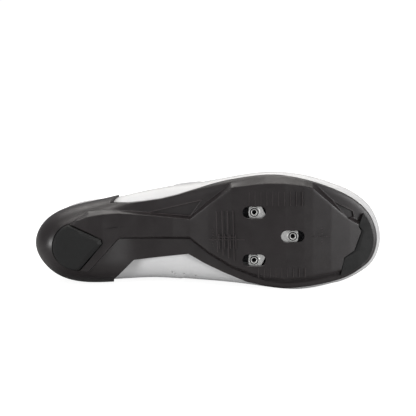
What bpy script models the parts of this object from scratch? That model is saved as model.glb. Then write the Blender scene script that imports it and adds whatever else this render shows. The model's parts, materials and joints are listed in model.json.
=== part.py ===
"""Road cycling shoe, right foot, lying on its inner side.

The shoe is modelled as it stands: +X from heel to toe, +Y towards the inner (medial) side, +Z up from
the ground, in metres. Its upper is a loft of ribs that start under the foot, turn round the feather edge
and climb to the collar or the throat. The sole, insole, tongue and straps follow the same ribs. At the end
everything hangs from one empty, which lays the shoe down on its inner side and on the floor.
"""

import math

import bmesh
import bpy
import numpy as np
from mathutils import Matrix, Vector

MM = 0.001

# Driving sizes of the last, measured on the standing shoe
LENGTH = 285 * MM
BALL_WIDTH = 98 * MM
COLLAR_HEIGHT = 88 * MM
INSTEP_HEIGHT = 90 * MM
HEEL_SEAT = 24 * MM
BALL_SEAT = 9.2 * MM
TOE_SEAT = 22 * MM

# Upper
UPPER_WALL = 2.2 * MM
FEATHER_TURN = 10 * MM
SIDE_RISE = 15 * MM
LASTING_MARGIN = 16 * MM
HEEL_ROUNDING = 0.85 * FEATHER_TURN

# Sole
GAP = 0.3 * MM
CUP_WALL = 2.0 * MM
FLANGE = 3.2 * MM
HEEL_BASE = 3.5 * MM
POCKET_DEPTH = 1.5 * MM
CORE_FLOOR = 2.4 * MM
BLOCK_SINK = 0.5 * FLANGE
POCKET_MARGIN = 4 * MM

# Heel pad
PAD_RADIUS = 19.3 * MM
PAD_CENTRE = (35.6 * MM, 5.0 * MM)
PAD_SEAT = 4.2 * MM
PAD_GROOVE = 0.5 * MM
PAD_CHAMFER = 3.0 * MM
PAD_RIM = 1.1 * MM
PAD_SHOULDER = 0.4 * MM

# Toe pad
TOE_PAD_INSET = 2.6 * MM
TOE_GROOVE = 0.5 * MM

# Cleat nuts: three, in slots that run along the shoe
NUT_ROW = 180.3 * MM
NUT_AXIS = -4.1 * MM
NUT_SPREAD = 39.1 * MM
NUT_REACH = 31.3 * MM
SLOT_LENGTH = 19 * MM
SLOT_WIDTH = 9.4 * MM
SLOT_SKIN = 2.6 * MM
BOSS_RADIUS = 4.4 * MM
BOSS_RECESS = 0.8 * MM
THREAD_RADIUS = 2.1 * MM
PLATE_WIDTH = 12.4 * MM
PLATE_THICKNESS = 1.6 * MM
PLATE_TAIL = 11 * MM
PLATE_NOSE = 5.5 * MM
NUT_TRAVEL = 4.5 * MM
NUT_CLEARANCE = 0.8 * MM

# Inside and on top
INSOLE_THICKNESS = 3.0 * MM
INSOLE_SPREAD = 1.8 * MM
INSOLE_UNDERCUT = 0.5 * MM
TONGUE_THICKNESS = 3.6 * MM
TONGUE_RISE = 16 * MM
TONGUE_CLEARANCE = 0.8 * MM
STRAP_THICKNESS = 1.8 * MM
STRAP_CLEARANCE = 0.6 * MM

# How finely the lofts are cut
RIBS_PER_SIDE = 32
ARC_STEPS = 14
MARGIN_SHARES = (0.0, 0.5, 1.0)
COVERED_SHARES = (0.16, 0.33, 0.5, 0.67, 0.84, 1.0)
STRAP_POINTS = 21
STRAP_STATIONS = 7
TONGUE_POINTS = 13
TONGUE_STATIONS = 11
BLOCK_STATIONS = 7
SIDE_POINTS = 5
ROW_SEARCH = 60
OPEN_SHARES = (0.08, 0.17, 0.28, 0.40, 0.52, 0.64, 0.76, 0.88, 1.0)

# Ribs from the heel round each side to the toe. along, lateral and medial place the widest line of the
# upper, top_* its upper edge: along as shares of LENGTH, sideways as shares of BALL_WIDTH with medial
# positive. collar and instep are shares of COLLAR_HEIGHT and INSTEP_HEIGHT, added up.
OUTLINE = [
    # along, lateral, medial, top_along, top_lateral, top_medial, collar, instep
    (0.009, 0.051, 0.051, 0.032, 0.051, 0.051, 1.000, 0.000),
    (0.026, -0.087, 0.189, 0.042, -0.061, 0.163, 0.994, 0.000),
    (0.070, -0.188, 0.305, 0.077, -0.173, 0.276, 0.955, 0.000),
    (0.133, -0.252, 0.361, 0.133, -0.240, 0.337, 0.869, 0.000),
    (0.204, -0.297, 0.366, 0.200, -0.270, 0.342, 0.812, 0.000),
    (0.274, -0.347, 0.357, 0.263, -0.265, 0.316, 0.600, 0.225),
    (0.344, -0.391, 0.350, 0.323, -0.235, 0.276, 0.250, 0.655),
    (0.414, -0.427, 0.357, 0.372, -0.184, 0.214, 0.000, 0.994),
    (0.484, -0.461, 0.367, 0.425, -0.138, 0.133, 0.000, 0.956),
    (0.554, -0.503, 0.378, 0.484, -0.128, 0.097, 0.000, 0.878),
    (0.625, -0.541, 0.397, 0.544, -0.128, 0.066, 0.000, 0.800),
    (0.691, -0.557, 0.421, 0.596, -0.128, 0.046, 0.000, 0.739),
    (0.761, -0.539, 0.434, 0.639, -0.124, 0.031, 0.000, 0.692),
    (0.832, -0.488, 0.407, 0.667, -0.114, 0.015, 0.000, 0.659),
    (0.902, -0.404, 0.352, 0.682, -0.092, -0.008, 0.000, 0.642),
    (0.950, -0.311, 0.281, 0.689, -0.067, -0.031, 0.000, 0.636),
    (0.983, -0.186, 0.190, 0.691, -0.057, -0.041, 0.000, 0.634),
    (1.000, 0.010, 0.010, 0.692, -0.049, -0.049, 0.000, 0.633),
]

# The same ribs: how the wall turns and climbs. turn_* are shares of FEATHER_TURN, rise of SIDE_RISE,
# margin_* of LASTING_MARGIN. climb, crown_out and crown_up shape the side, and rim_* say how far up the
# rib the sole covers it.
WALL = [
    # turn_lat, turn_med, rise, margin_lat, margin_med, climb, crown_out, crown_up, rim_lat, rim_med
    (1.00, 1.00, 0.62, 1.10, 1.10, 0.35, 0.25, -0.40, 0.440, 0.440),
    (1.00, 1.00, 0.62, 1.10, 1.10, 0.35, 0.25, -0.40, 0.440, 0.440),
    (1.05, 1.05, 0.63, 1.10, 1.10, 0.35, 0.25, -0.40, 0.440, 0.440),
    (1.10, 1.10, 0.66, 1.10, 1.20, 0.35, 0.25, -0.40, 0.440, 0.440),
    (1.20, 1.30, 0.72, 1.10, 1.35, 0.35, 0.25, -0.40, 0.435, 0.435),
    (1.40, 1.70, 0.88, 1.10, 1.55, 0.35, 0.28, -0.33, 0.415, 0.415),
    (1.50, 1.95, 1.08, 1.10, 1.65, 0.36, 0.33, -0.22, 0.340, 0.340),
    (1.40, 2.00, 1.16, 1.10, 1.65, 0.38, 0.40, -0.10, 0.285, 0.285),
    (1.20, 1.70, 1.14, 1.10, 1.50, 0.38, 0.42, -0.05, 0.288, 0.272),
    (1.05, 1.40, 1.06, 1.10, 1.30, 0.38, 0.42, -0.05, 0.300, 0.272),
    (1.00, 1.10, 0.97, 1.10, 1.20, 0.38, 0.42, -0.05, 0.297, 0.272),
    (1.00, 1.00, 0.90, 1.10, 1.10, 0.38, 0.42, -0.05, 0.293, 0.287),
    (1.00, 1.00, 0.88, 1.10, 1.10, 0.38, 0.42, -0.05, 0.280, 0.268),
    (1.00, 1.00, 0.86, 1.10, 1.10, 0.45, 0.42, -0.12, 0.270, 0.265),
    (1.00, 1.00, 0.80, 1.10, 1.10, 0.55, 0.45, -0.15, 0.265, 0.268),
    (1.00, 1.00, 0.75, 1.10, 1.10, 0.62, 0.50, -0.18, 0.260, 0.260),
    (1.00, 1.00, 0.72, 1.10, 1.10, 0.68, 0.54, -0.20, 0.262, 0.262),
    (1.00, 1.00, 0.70, 1.10, 1.10, 0.70, 0.55, -0.20, 0.264, 0.264),
]

# Height of the last's bottom: heel and toe say how near it is to HEEL_SEAT and TOE_SEAT, from BALL_SEAT.
# fill says how far the sole is filled from its flange down to HEEL_BASE.
FLOOR = [
    # along, heel, toe, fill
    (0.00, 1.00, 0.00, 1.00),
    (0.08, 0.96, 0.00, 1.00),
    (0.16, 0.91, 0.00, 0.97),
    (0.22, 0.86, 0.00, 0.72),
    (0.28, 0.79, 0.00, 0.30),
    (0.35, 0.65, 0.00, 0.05),
    (0.45, 0.42, 0.00, 0.00),
    (0.55, 0.16, 0.00, 0.00),
    (0.63, 0.03, 0.00, 0.00),
    (0.72, 0.00, 0.00, 0.00),
    (0.79, 0.00, 0.09, 0.00),
    (0.86, 0.00, 0.29, 0.00),
    (0.93, 0.00, 0.60, 0.00),
    (1.00, 0.00, 1.00, 0.00),
]

# The raised block under the sole: heel platform, waist beam and forefoot platform, a row for each station.
# lateral and medial are shares of BALL_WIDTH. heel and toe lift its underside, as shares of HEEL_SEAT and
# TOE_SEAT. The drafts are the sideways run of its walls, as shares of FLANGE.
BLOCK = [
    # along, lateral, medial, heel, toe, draft_lateral, draft_medial
    (0.090, -0.100, 0.170, 0.12, 0.00, 0.9, 0.9),
    (0.126, -0.165, 0.250, 0.12, 0.00, 1.0, 0.7),
    (0.160, -0.203, 0.262, 0.12, 0.00, 1.6, 0.7),
    (0.200, -0.222, 0.133, 0.16, 0.00, 1.5, 0.8),
    (0.247, -0.228, -0.020, 0.26, 0.00, 1.2, 0.9),
    (0.300, -0.214, -0.022, 0.34, 0.00, 0.9, 0.9),
    (0.350, -0.202, -0.025, 0.37, 0.00, 0.7, 0.9),
    (0.400, -0.189, -0.027, 0.35, 0.00, 0.5, 0.9),
    (0.449, -0.176, -0.029, 0.27, 0.00, 0.5, 1.0),
    (0.502, -0.302, 0.089, 0.16, 0.00, 0.9, 1.1),
    (0.568, -0.447, 0.200, 0.05, 0.00, 1.0, 1.2),
    (0.625, -0.470, 0.260, 0.00, 0.00, 1.6, 1.4),
    (0.666, -0.480, 0.295, 0.00, 0.00, 1.9, 1.7),
    (0.720, -0.478, 0.309, 0.00, 0.00, 1.9, 2.0),
    (0.775, -0.458, 0.300, 0.00, 0.05, 1.9, 2.0),
    (0.800, -0.440, 0.291, 0.00, 0.09, 1.7, 2.0),
    (0.853, -0.307, 0.268, 0.00, 0.21, 1.4, 1.9),
    (0.907, -0.172, 0.236, 0.00, 0.37, 1.1, 1.8),
    (0.945, -0.110, 0.200, 0.00, 0.50, 1.0, 1.6),
]

# Cut-out of the sole at the inner waist, where the upper shows: along LENGTH, across BALL_WIDTH
WAIST_CUT = [
    (0.224, 0.520),
    (0.228, 0.350),
    (0.288, 0.176),
    (0.445, 0.122),
    (0.490, 0.196),
    (0.545, 0.270),
    (0.600, 0.335),
    (0.648, 0.400),
    (0.655, 0.520),
]

# Cut-out of the sole at the outer waist, between heel cup and flange: along LENGTH, across BALL_WIDTH
OUTER_CUT = [
    (0.220, -0.297),
    (0.275, -0.299),
    (0.321, -0.315),
    (0.368, -0.337),
    (0.414, -0.371),
    (0.461, -0.414),
    (0.507, -0.457),
    (0.530, -0.620),
    (0.256, -0.620),
    (0.252, -0.362),
]

# Sunk pockets of the outer flange
POCKETS = [
    [(0.327, -0.221), (0.452, -0.200), (0.484, -0.333)],
    [(0.857, -0.328), (0.902, -0.175), (0.920, -0.190), (0.916, -0.240)],
]

# The sole is cored out from above, under the insole, down to CORE_FLOOR over the pad's seat or the beam
HEEL_CORE = [
    (0.050, -0.060),
    (0.090, -0.140),
    (0.150, -0.185),
    (0.215, -0.190),
    (0.215, 0.090),
    (0.180, 0.240),
    (0.110, 0.240),
    (0.060, 0.165),
]
WAIST_CORE = [(0.235, -0.185), (0.440, -0.140), (0.440, -0.065), (0.235, -0.060)]

# Back edge of the toe pad, from the inner side outwards, and the corners of the heel pad
TOE_PAD_EDGE = [
    (0.872, 0.420),
    (0.893, 0.145),
    (0.922, 0.087),
    (0.942, -0.071),
    (0.933, -0.114),
    (0.960, -0.330),
]
PAD_TIP = [(0.1975, -0.010), (0.2000, 0.024)]
PAD_ARC = (-108, 83)

# The toe pad runs along LENGTH, and its underside goes on from the block's last rows to a share of
# TOE_SEAT at the tip. Its rounded edge follows the rows near the toe, as many on each side.
TOE_PAD_RUN = (0.86, 0.998)
TOE_PAD_LIFT = 0.72
TOE_PAD_FROM = 0.79
TOE_PAD_ROWS = 4.2
TOE_PAD_POINTS = 25

# Line down the middle that the sole's ribs run to: its start and its reach as shares of LENGTH and of a
# rib's own place, and how far it lies to the inner side, in shares of BALL_WIDTH
SPINE_START = 0.11
SPINE_REACH = 0.80
SPINE_LINE = [(0.1, 0.051), (0.3, 0.0), (0.6, -0.042), (1.0, -0.03)]

# Straps: where their middle lies and how wide they are along LENGTH, and the place up the ribs that each
# end reaches down to on the outer and on the inner side
STRAPS = {
    # along, width, lateral_end, medial_end
    "strap_toe": (0.655, 0.070, 0.62, 0.80),
    "strap_middle": (0.555, 0.070, 0.60, 0.80),
    "strap_instep": (0.445, 0.085, 0.55, 0.80),
}
STRAP_ROUNDING = 0.6

# Tongue: its front and back along LENGTH, the place up the ribs where it is tucked in, and its drawn-in top
TONGUE_RUN = (0.672, 0.375)
TONGUE_TUCK = 0.83
TONGUE_ROUNDING = 0.34
TONGUE_LEAN = 0.35
TONGUE_TOP = (0.35, 0.7, 1.0)
THROAT_EDGE = 0.96

MATERIALS = {
    # linear colour, roughness, metallic, density in kg per cubic metre
    "sole_composite": ((0.021, 0.018, 0.019), 0.42, 0.0, 1100),
    "pad_rubber": ((0.024, 0.024, 0.024), 0.75, 0.0, 1200),
    "upper_white": ((0.80, 0.80, 0.81), 0.45, 0.0, 900),
    "tongue_grey": ((0.16, 0.16, 0.17), 0.80, 0.0, 900),
    "insole_grey": ((0.12, 0.12, 0.13), 0.90, 0.0, 300),
    "strap_white": ((0.74, 0.74, 0.75), 0.50, 0.0, 900),
    "nut_steel": ((0.62, 0.62, 0.61), 0.28, 1.0, 7850),
}

# Places up a rib: the margin ends at V_TURN and the turn at V_SIDE
ROWS = len(OUTLINE) - 1
V_TURN = 0.2
V_SIDE = 0.4

# A facet the shoe can rest on faces this far to the inner side
SIDEWAYS = 0.9


def clear_scene():
    for old in list(bpy.data.objects):
        bpy.data.objects.remove(old)


def material(name):
    """A plain material with its colour, roughness and metallic value."""
    made = bpy.data.materials.get(name) or bpy.data.materials.new(name)
    made.use_nodes = True
    colour, roughness, metallic, _ = MATERIALS[name]
    shader = made.node_tree.nodes["Principled BSDF"]
    shader.inputs["Base Color"].default_value = (*colour, 1.0)
    shader.inputs["Roughness"].default_value = roughness
    shader.inputs["Metallic"].default_value = metallic
    return made


def spline(knots, values, at):
    """Natural cubic spline through the values at the knots, read at the places in at."""
    knots = np.asarray(knots, float)
    values = np.asarray(values, float)
    step = np.diff(knots)
    count = len(knots)
    matrix = np.eye(count)
    right = np.zeros((count,) + values.shape[1:])
    slope = np.diff(values, axis=0) / step.reshape(-1, *[1] * (values.ndim - 1))
    for i in range(1, count - 1):
        matrix[i, i - 1 : i + 2] = step[i - 1], 2 * (step[i - 1] + step[i]), step[i]
        right[i] = 6 * (slope[i] - slope[i - 1])
    bend = np.linalg.solve(matrix, right.reshape(count, -1)).reshape(right.shape)
    at = np.clip(np.asarray(at, float), knots[0], knots[-1])
    i = np.clip(np.searchsorted(knots, at, side="right") - 1, 0, count - 2)
    shape = at.shape + (1,) * (values.ndim - 1)
    h = step[i].reshape(shape)
    a = (knots[i + 1] - at).reshape(shape) / h
    b = 1 - a
    curve = (a**3 - a) * bend[i] + (b**3 - b) * bend[i + 1]
    return a * values[i] + b * values[i + 1] + curve * h * h / 6


def around(lateral, medial):
    """Values of the rows once round the shoe, and a little further, so that a spline closes smoothly."""
    loop = list(lateral) + list(medial[-2:0:-1])
    return np.array(loop[-6:] + loop + loop[:7], float)


def row_values(row):
    """Everything the tables say at places round the shoe: 0 at the heel, ROWS at the toe, 2 ROWS back."""
    outline = np.array(OUTLINE)
    wall = np.array(WALL)
    lateral = np.column_stack([outline[:, [0, 1, 3, 4, 6, 7]], wall[:, [0, 2, 3, 5, 6, 7, 8]]])
    medial = np.column_stack([outline[:, [0, 2, 3, 5, 6, 7]], wall[:, [1, 2, 4, 5, 6, 7, 9]]])
    knots = np.arange(-6, 2 * ROWS + 7)
    return spline(knots, around(lateral, medial), np.mod(row, 2 * ROWS))


def profile(column, x):
    """A column of FLOOR at distances x along the shoe."""
    table = np.array(FLOOR)
    return spline(table[:, 0] * LENGTH, table[:, column], x)


def floor_height(x):
    """Height of the last's bottom."""
    return BALL_SEAT + (HEEL_SEAT - BALL_SEAT) * profile(1, x) + (TOE_SEAT - BALL_SEAT) * profile(2, x)


def underside_height(x):
    """Height of the sole's own underside, outside the raised block."""
    fill = np.clip(profile(3, x), 0, 1)
    return (floor_height(x) - FLANGE) * (1 - fill) + HEEL_BASE * fill


def outward(row):
    """Unit direction square to the widest line, pointing out of the shoe, seen from above."""
    step = 1e-3
    before = row_values(row - step)
    after = row_values(row + step)
    along = (after[..., 0] - before[..., 0]) * LENGTH
    across = (after[..., 1] - before[..., 1]) * BALL_WIDTH
    size = np.hypot(along, across)
    return across / size, -along / size


def rib_points(row, v):
    """Points of the upper's outer face: v is 0 at the margin's inner edge and 1 at the collar or throat."""
    row, v = np.broadcast_arrays(np.asarray(row, float), np.asarray(v, float))
    along, side, top_along, top_side, collar, instep, turn, rise, margin, climb, out, up, _ = np.moveaxis(
        row_values(row), -1, 0
    )
    out_x, out_y = outward(row)
    turn = turn * FEATHER_TURN
    rise = rise * SIDE_RISE
    margin = margin * LASTING_MARGIN
    flat = np.clip(v / V_TURN, 0, 1)
    angle = np.clip((v - V_TURN) / (V_SIDE - V_TURN), 0, 1) * math.pi / 2
    reach = -margin + (margin - turn) * flat + turn * np.sin(angle)
    low = np.stack([along * LENGTH + out_x * reach, side * BALL_WIDTH + out_y * reach], -1)
    low = np.concatenate([low, (floor_height(low[..., 0]) + rise * (1 - np.cos(angle)))[..., None]], -1)
    start = np.stack([along * LENGTH, side * BALL_WIDTH, floor_height(along * LENGTH) + rise], -1)
    top = collar * COLLAR_HEIGHT + instep * INSTEP_HEIGHT
    end = np.stack([top_along * LENGTH, top_side * BALL_WIDTH, top], -1)
    height = end[..., 2] - start[..., 2]
    first = start.copy()
    first[..., 2] += climb * height
    second = end + out[..., None] * (start - end) * np.array([1, 1, 0])
    second[..., 2] += up * height
    s = np.clip((v - V_SIDE) / (1 - V_SIDE), 0, 1)[..., None]
    lower = (1 - s) ** 3 * start + 3 * s * (1 - s) ** 2 * first
    side_curve = lower + 3 * s * s * (1 - s) * second + s**3 * end
    return np.where((v < V_SIDE)[..., None], low, side_curve)


def upper_surface(row, v, offset):
    """The upper's outer face moved out by offset, or in where offset is negative."""
    row, v, offset = np.broadcast_arrays(*(np.asarray(given, float) for given in (row, v, offset)))
    step_row = 0.02
    step_v = 0.006
    low = np.clip(v - step_v, 0, 1)
    high = np.clip(v + step_v, 0, 1)
    along = rib_points(row + step_row, v) - rib_points(row - step_row, v)
    upwards = rib_points(row, high) - rib_points(row, low)
    normal = np.cross(along, upwards)
    normal /= np.linalg.norm(normal, axis=-1, keepdims=True)
    return rib_points(row, v) + normal * offset[..., None]


def rib_rows(per_side):
    """Places round the shoe, the same on both sides."""
    one_side = np.linspace(0, ROWS, per_side + 1)
    return np.concatenate([one_side, 2 * ROWS - one_side[-2:0:-1]])


def covered_places(rows):
    """Places up each rib that the sole covers: its margin, then its turn as far as the sole's rim."""
    rim = row_values(rows)[..., 12]
    margin = [share * V_TURN + 0 * rim for share in MARGIN_SHARES]
    return margin + [V_TURN + (rim - V_TURN) * share for share in COVERED_SHARES]


def open_places(rows):
    """Places up each rib above the sole's rim."""
    rim = row_values(rows)[..., 12]
    return [rim + (1 - rim) * share for share in OPEN_SHARES]


def new_object(name, points, faces, slot, hidden=False):
    mesh = bpy.data.meshes.new(name)
    mesh.from_pydata([tuple(map(float, p)) for p in points], [], faces)
    made = bpy.data.objects.new(name, mesh)
    bpy.context.scene.collection.objects.link(made)
    if slot:
        mesh.materials.append(material(slot))
    if hidden:
        made.hide_render = True
        made.display_type = "WIRE"
    return made


def tidy(made, smooth_angle=35, merge=1e-6):
    """Merges doubled points, turns the faces out and shades the round parts smooth."""
    bm = bmesh.new()
    bm.from_mesh(made.data)
    bmesh.ops.remove_doubles(bm, verts=bm.verts, dist=merge)
    bmesh.ops.dissolve_degenerate(bm, edges=bm.edges, dist=merge)
    bmesh.ops.recalc_face_normals(bm, faces=bm.faces)
    bm.to_mesh(made.data)
    bm.free()
    made.data.shade_smooth()
    made.data.set_sharp_from_angle(angle=math.radians(smooth_angle))
    return made


def close_ends(made):
    """Fills the two open ends of a loft."""
    bm = bmesh.new()
    bm.from_mesh(made.data)
    bmesh.ops.holes_fill(bm, edges=[e for e in bm.edges if e.is_boundary])
    bm.to_mesh(made.data)
    bm.free()
    return made


def skin(name, rings, slot, joined, hidden=False):
    """Faces between rings of as many points each. joined closes the last ring to the first one."""
    count = len(rings[0])
    faces = []
    for i in range(len(rings) - (0 if joined else 1)):
        j = (i + 1) % len(rings)
        for k in range(count):
            m = (k + 1) % count
            faces.append((i * count + k, i * count + m, j * count + m, j * count + k))
    return new_object(name, np.concatenate(rings), faces, slot, hidden)


def prism(name, outline, low, high, slot=None, hidden=True):
    """An upright solid over an outline of (x, y) points."""
    count = len(outline)
    points = [(x, y, z) for z in (low, high) for x, y in outline]
    faces = [tuple(range(count))[::-1], tuple(range(count, 2 * count))]
    faces += [(k, (k + 1) % count, count + (k + 1) % count, count + k) for k in range(count)]
    return tidy(new_object(name, points, faces, slot, hidden))


def combine(target, other, operation, solver="EXACT"):
    """A live Boolean. The other object stays as a hidden helper."""
    cut = target.modifiers.new(operation.lower() + "_" + other.name, "BOOLEAN")
    cut.operation = operation
    cut.object = other
    cut.solver = solver
    other.hide_render = True
    other.display_type = "WIRE"


def plan(points):
    """Plan points given as shares of LENGTH and BALL_WIDTH."""
    return [(along * LENGTH, across * BALL_WIDTH) for along, across in points]


def stadium(centre_x, centre_y, length, width, steps=8):
    """Outline of a slot with round ends, along X."""
    radius = width / 2
    straight = length / 2 - radius
    points = []
    for k in range(2 * steps + 2):
        half = 1 if k <= steps else -1
        angle = math.pi * (k - (0 if half > 0 else 1)) / steps - math.pi / 2
        x = centre_x + half * straight + radius * math.cos(angle)
        points.append((x, centre_y + radius * math.sin(angle)))
    return points


def make_upper():
    rows = rib_rows(RIBS_PER_SIDE)
    places = covered_places(rows) + open_places(rows)
    outer = [upper_surface(rows, v, 0) for v in places]
    inner = [upper_surface(rows, v, -UPPER_WALL) for v in reversed(places)]
    return tidy(skin("upper", outer + inner, "upper_white", joined=True))


def spine(row):
    """The line along the middle that the sole's ribs run to, in plan."""
    along = row_values(row)[..., 0] * LENGTH
    x = LENGTH * SPINE_START + along * SPINE_REACH
    line = np.array(SPINE_LINE)
    y = np.interp(x / LENGTH, line[:, 0], line[:, 1]) * BALL_WIDTH
    return x, y


def sole_under(row, v, grow=0.0):
    """The sole's outer face where it follows the ribs, moved out by grow."""
    row, v = np.broadcast_arrays(np.asarray(row, float), np.asarray(v, float))
    values = row_values(row)
    out_x, out_y = outward(row)
    turn = values[..., 6] * FEATHER_TURN
    heel = np.clip(profile(3, values[..., 0] * LENGTH), 0, 1)
    turn = turn + HEEL_ROUNDING * heel
    rise = values[..., 7] * SIDE_RISE
    angle = np.clip((v - V_TURN) / (V_SIDE - V_TURN), 0, 1) * math.pi / 2
    thick = GAP + CUP_WALL + grow
    reach = -turn + (turn + thick) * np.sin(angle)
    x = values[..., 0] * LENGTH + out_x * reach
    y = values[..., 1] * BALL_WIDTH + out_y * reach
    bottom = underside_height(x) - grow
    top = floor_height(x) + rise
    low = np.stack([x, y, bottom + (top - bottom) * (1 - np.cos(angle))], -1)
    return np.where((v < V_SIDE)[..., None], low, upper_surface(row, v, thick))


def shell_rings(per_side, grow=0.0):
    """Rings of the sole's shell: out along its top, over its rim and back along its underside."""
    rows = rib_rows(per_side)
    x, y = spine(rows)
    places = covered_places(rows)
    top = [np.column_stack([x, y, floor_height(x) - GAP])]
    top += [upper_surface(rows, v, GAP) for v in places]
    under = [sole_under(rows, v, grow) for v in places[:1:-1]]
    last = under[-1]
    middle = np.column_stack([x, y, underside_height(x) - grow])
    between = last * 0.5 + middle * 0.5
    between[:, 2] = underside_height(between[:, 0]) - grow
    return top + under + [between, middle]


def make_shell(name):
    return tidy(skin(name, shell_rings(RIBS_PER_SIDE), "sole_composite", joined=False))


def over_sole(name, grow):
    """Everything above the sole's underside, moved down by grow."""
    under = shell_rings(RIBS_PER_SIDE, grow)[1 + len(MARGIN_SHARES) + len(COVERED_SHARES) :]
    high = np.array([0, 0, 2 * COLLAR_HEIGHT])
    return tidy(skin(name, [under[-1] + high, under[0] + high] + under, None, joined=False, hidden=True))


def make_block():
    """The raised block as a loft of four-cornered stations, sunk into the shell above it."""
    rings = []
    for along, lateral, medial, heel, toe, draft_lateral, draft_medial in BLOCK:
        x = along * LENGTH
        low = heel * HEEL_SEAT + toe * TOE_SEAT
        high = float(floor_height(x)) - BLOCK_SINK
        left = lateral * BALL_WIDTH
        right = medial * BALL_WIDTH
        rings.append(
            np.array(
                [
                    (x, left, low),
                    (x, right, low),
                    (x, right + draft_medial * FLANGE, high),
                    (x, left - draft_lateral * FLANGE, high),
                ]
            )
        )
    block = skin("block", rings, "sole_composite", joined=False, hidden=True)
    return tidy(close_ends(block))


def heel_pad_outline(grow):
    """The pad's round back and its two front corners."""
    first, last = (math.radians(a) for a in PAD_ARC)
    centre_x, centre_y = PAD_CENTRE
    radius = PAD_RADIUS + grow
    points = []
    for k in range(ARC_STEPS + 1):
        angle = first + (last - 2 * math.pi - first) * k / ARC_STEPS
        points.append((centre_x + radius * math.cos(angle), centre_y + radius * math.sin(angle)))
    tip = [(along * LENGTH + grow, across * BALL_WIDTH) for along, across in PAD_TIP]
    return points + tip[::-1]


def make_heel_pad():
    """A rubber heel: straight sides, then a chamfer that is widest on its outer front edge."""
    outline = np.array(heel_pad_outline(0))
    centre = np.array(PAD_CENTRE)
    count = len(outline)
    inset = np.full(count, PAD_RIM)
    inset[0] = PAD_CHAMFER
    inset[-1] = PAD_CHAMFER
    away = outline - centre
    flat = outline - away / np.linalg.norm(away, axis=1, keepdims=True) * inset[:, None]
    top = HEEL_BASE + PAD_SEAT - GAP
    shoulder = PAD_RIM + PAD_SHOULDER
    rings = [
        np.column_stack([outline, np.full(count, top)]),
        np.column_stack([outline, np.full(count, shoulder)]),
        np.column_stack([flat, np.zeros(count)]),
    ]
    pad = skin("heel_pad", rings, "pad_rubber", joined=False)
    return tidy(close_ends(pad))


def make_toe_pad():
    """The rubber toe: the front of the sole's underside behind a stepped edge."""
    stations = np.linspace(*TOE_PAD_RUN, BLOCK_STATIONS)
    rings = []
    wide = BALL_WIDTH * 0.5
    for along in stations:
        x = along * LENGTH
        low = toe_pad_height(x)
        rings.append(np.array([(x, -wide, low), (x, wide, low), (x, wide, TOE_SEAT), (x, -wide, TOE_SEAT)]))
    pad = skin("toe_pad", rings, "pad_rubber", joined=False)
    tidy(close_ends(pad))
    combine(pad, prism("toe_pad_outline", toe_pad_outline(), -HEEL_SEAT, COLLAR_HEIGHT), "INTERSECT")
    combine(pad, over_sole("toe_pad_seat", GAP), "DIFFERENCE")
    return pad


def toe_pad_height(x):
    """Height of the toe pad's underside, level with the forefoot platform and rising with the toe."""
    table = np.array(BLOCK)
    front = table[table[:, 0] > TOE_PAD_FROM]
    knots = np.append(front[:, 0], 1.0) * LENGTH
    heights = np.append(front[:, 4], TOE_PAD_LIFT) * TOE_SEAT
    return float(spline(knots, heights, x))


def toe_pad_room():
    """All that lies in front of the pad's back edge and its groove."""
    back = [(x - TOE_GROOVE, y) for x, y in plan(TOE_PAD_EDGE)]
    return back + [(LENGTH, back[-1][1]), (LENGTH, back[0][1])]


def toe_pad_outline():
    """The stepped back edge, then round the toe a little inside the sole's own edge."""
    back = plan(TOE_PAD_EDGE)
    rows = np.linspace(ROWS - TOE_PAD_ROWS, ROWS + TOE_PAD_ROWS, TOE_PAD_POINTS)
    rim = row_values(rows)[..., 12]
    edge = sole_under(rows, rim)
    out_x, out_y = outward(rows)
    front = np.column_stack([edge[:, 0] - out_x * TOE_PAD_INSET, edge[:, 1] - out_y * TOE_PAD_INSET])
    return clip_back(back, [tuple(p) for p in front])


def clip_back(back, front):
    """Ends the stepped edge where it meets the rounded one."""
    def meet(inner, outer, line):
        for a, b in zip(line, line[1:]):
            d1 = np.subtract(outer, inner)
            d2 = np.subtract(b, a)
            cross = d1[0] * d2[1] - d1[1] * d2[0]
            if abs(cross) < 1e-12:
                continue
            gap = np.subtract(a, inner)
            s = (gap[0] * d2[1] - gap[1] * d2[0]) / cross
            t = (gap[0] * d1[1] - gap[1] * d1[0]) / cross
            if 0 <= s <= 1 and 0 <= t <= 1:
                return tuple(np.add(inner, s * d1))
        return outer

    outer_end = meet(back[-2], back[-1], front)
    inner_end = meet(back[1], back[0], front[::-1])
    kept = [p for p in front if (p[0] > outer_end[0] or p[1] > 0) and (p[0] > inner_end[0] or p[1] < 0)]
    return [inner_end] + back[1:-1] + [outer_end] + kept


def nut_places():
    """Name, x, y and the way the plate's long tail points, for each cleat nut."""
    half = NUT_SPREAD / 2
    return [
        ("nut_lateral", NUT_ROW, NUT_AXIS - half, 1),
        ("nut_medial", NUT_ROW, NUT_AXIS + half, 1),
        ("nut_front", NUT_ROW + NUT_REACH, NUT_AXIS, -1),
    ]


def make_nut(name, x, y, way):
    """A steel plate with a round threaded boss that stands in the slot."""
    tail = PLATE_TAIL * way
    nose = -PLATE_NOSE * way
    low = SLOT_SKIN + GAP
    middle = x + (tail + nose) / 2
    plate = prism(
        name,
        stadium(middle, y, abs(tail - nose), PLATE_WIDTH),
        low,
        low + PLATE_THICKNESS,
        "nut_steel",
        hidden=False,
    )
    boss = cylinder(name + "_boss", x, y, BOSS_RADIUS, BOSS_RECESS, low + PLATE_THICKNESS * 0.5)
    bore = cylinder(name + "_bore", x, y, THREAD_RADIUS, -HEEL_SEAT, HEEL_SEAT)
    combine(plate, boss, "UNION")
    combine(plate, bore, "DIFFERENCE")
    return plate


def cylinder(name, x, y, radius, low, high, steps=24):
    outline = [
        (x + radius * math.cos(2 * math.pi * k / steps), y + radius * math.sin(2 * math.pi * k / steps))
        for k in range(steps)
    ]
    return prism(name, outline, low, high)


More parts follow.
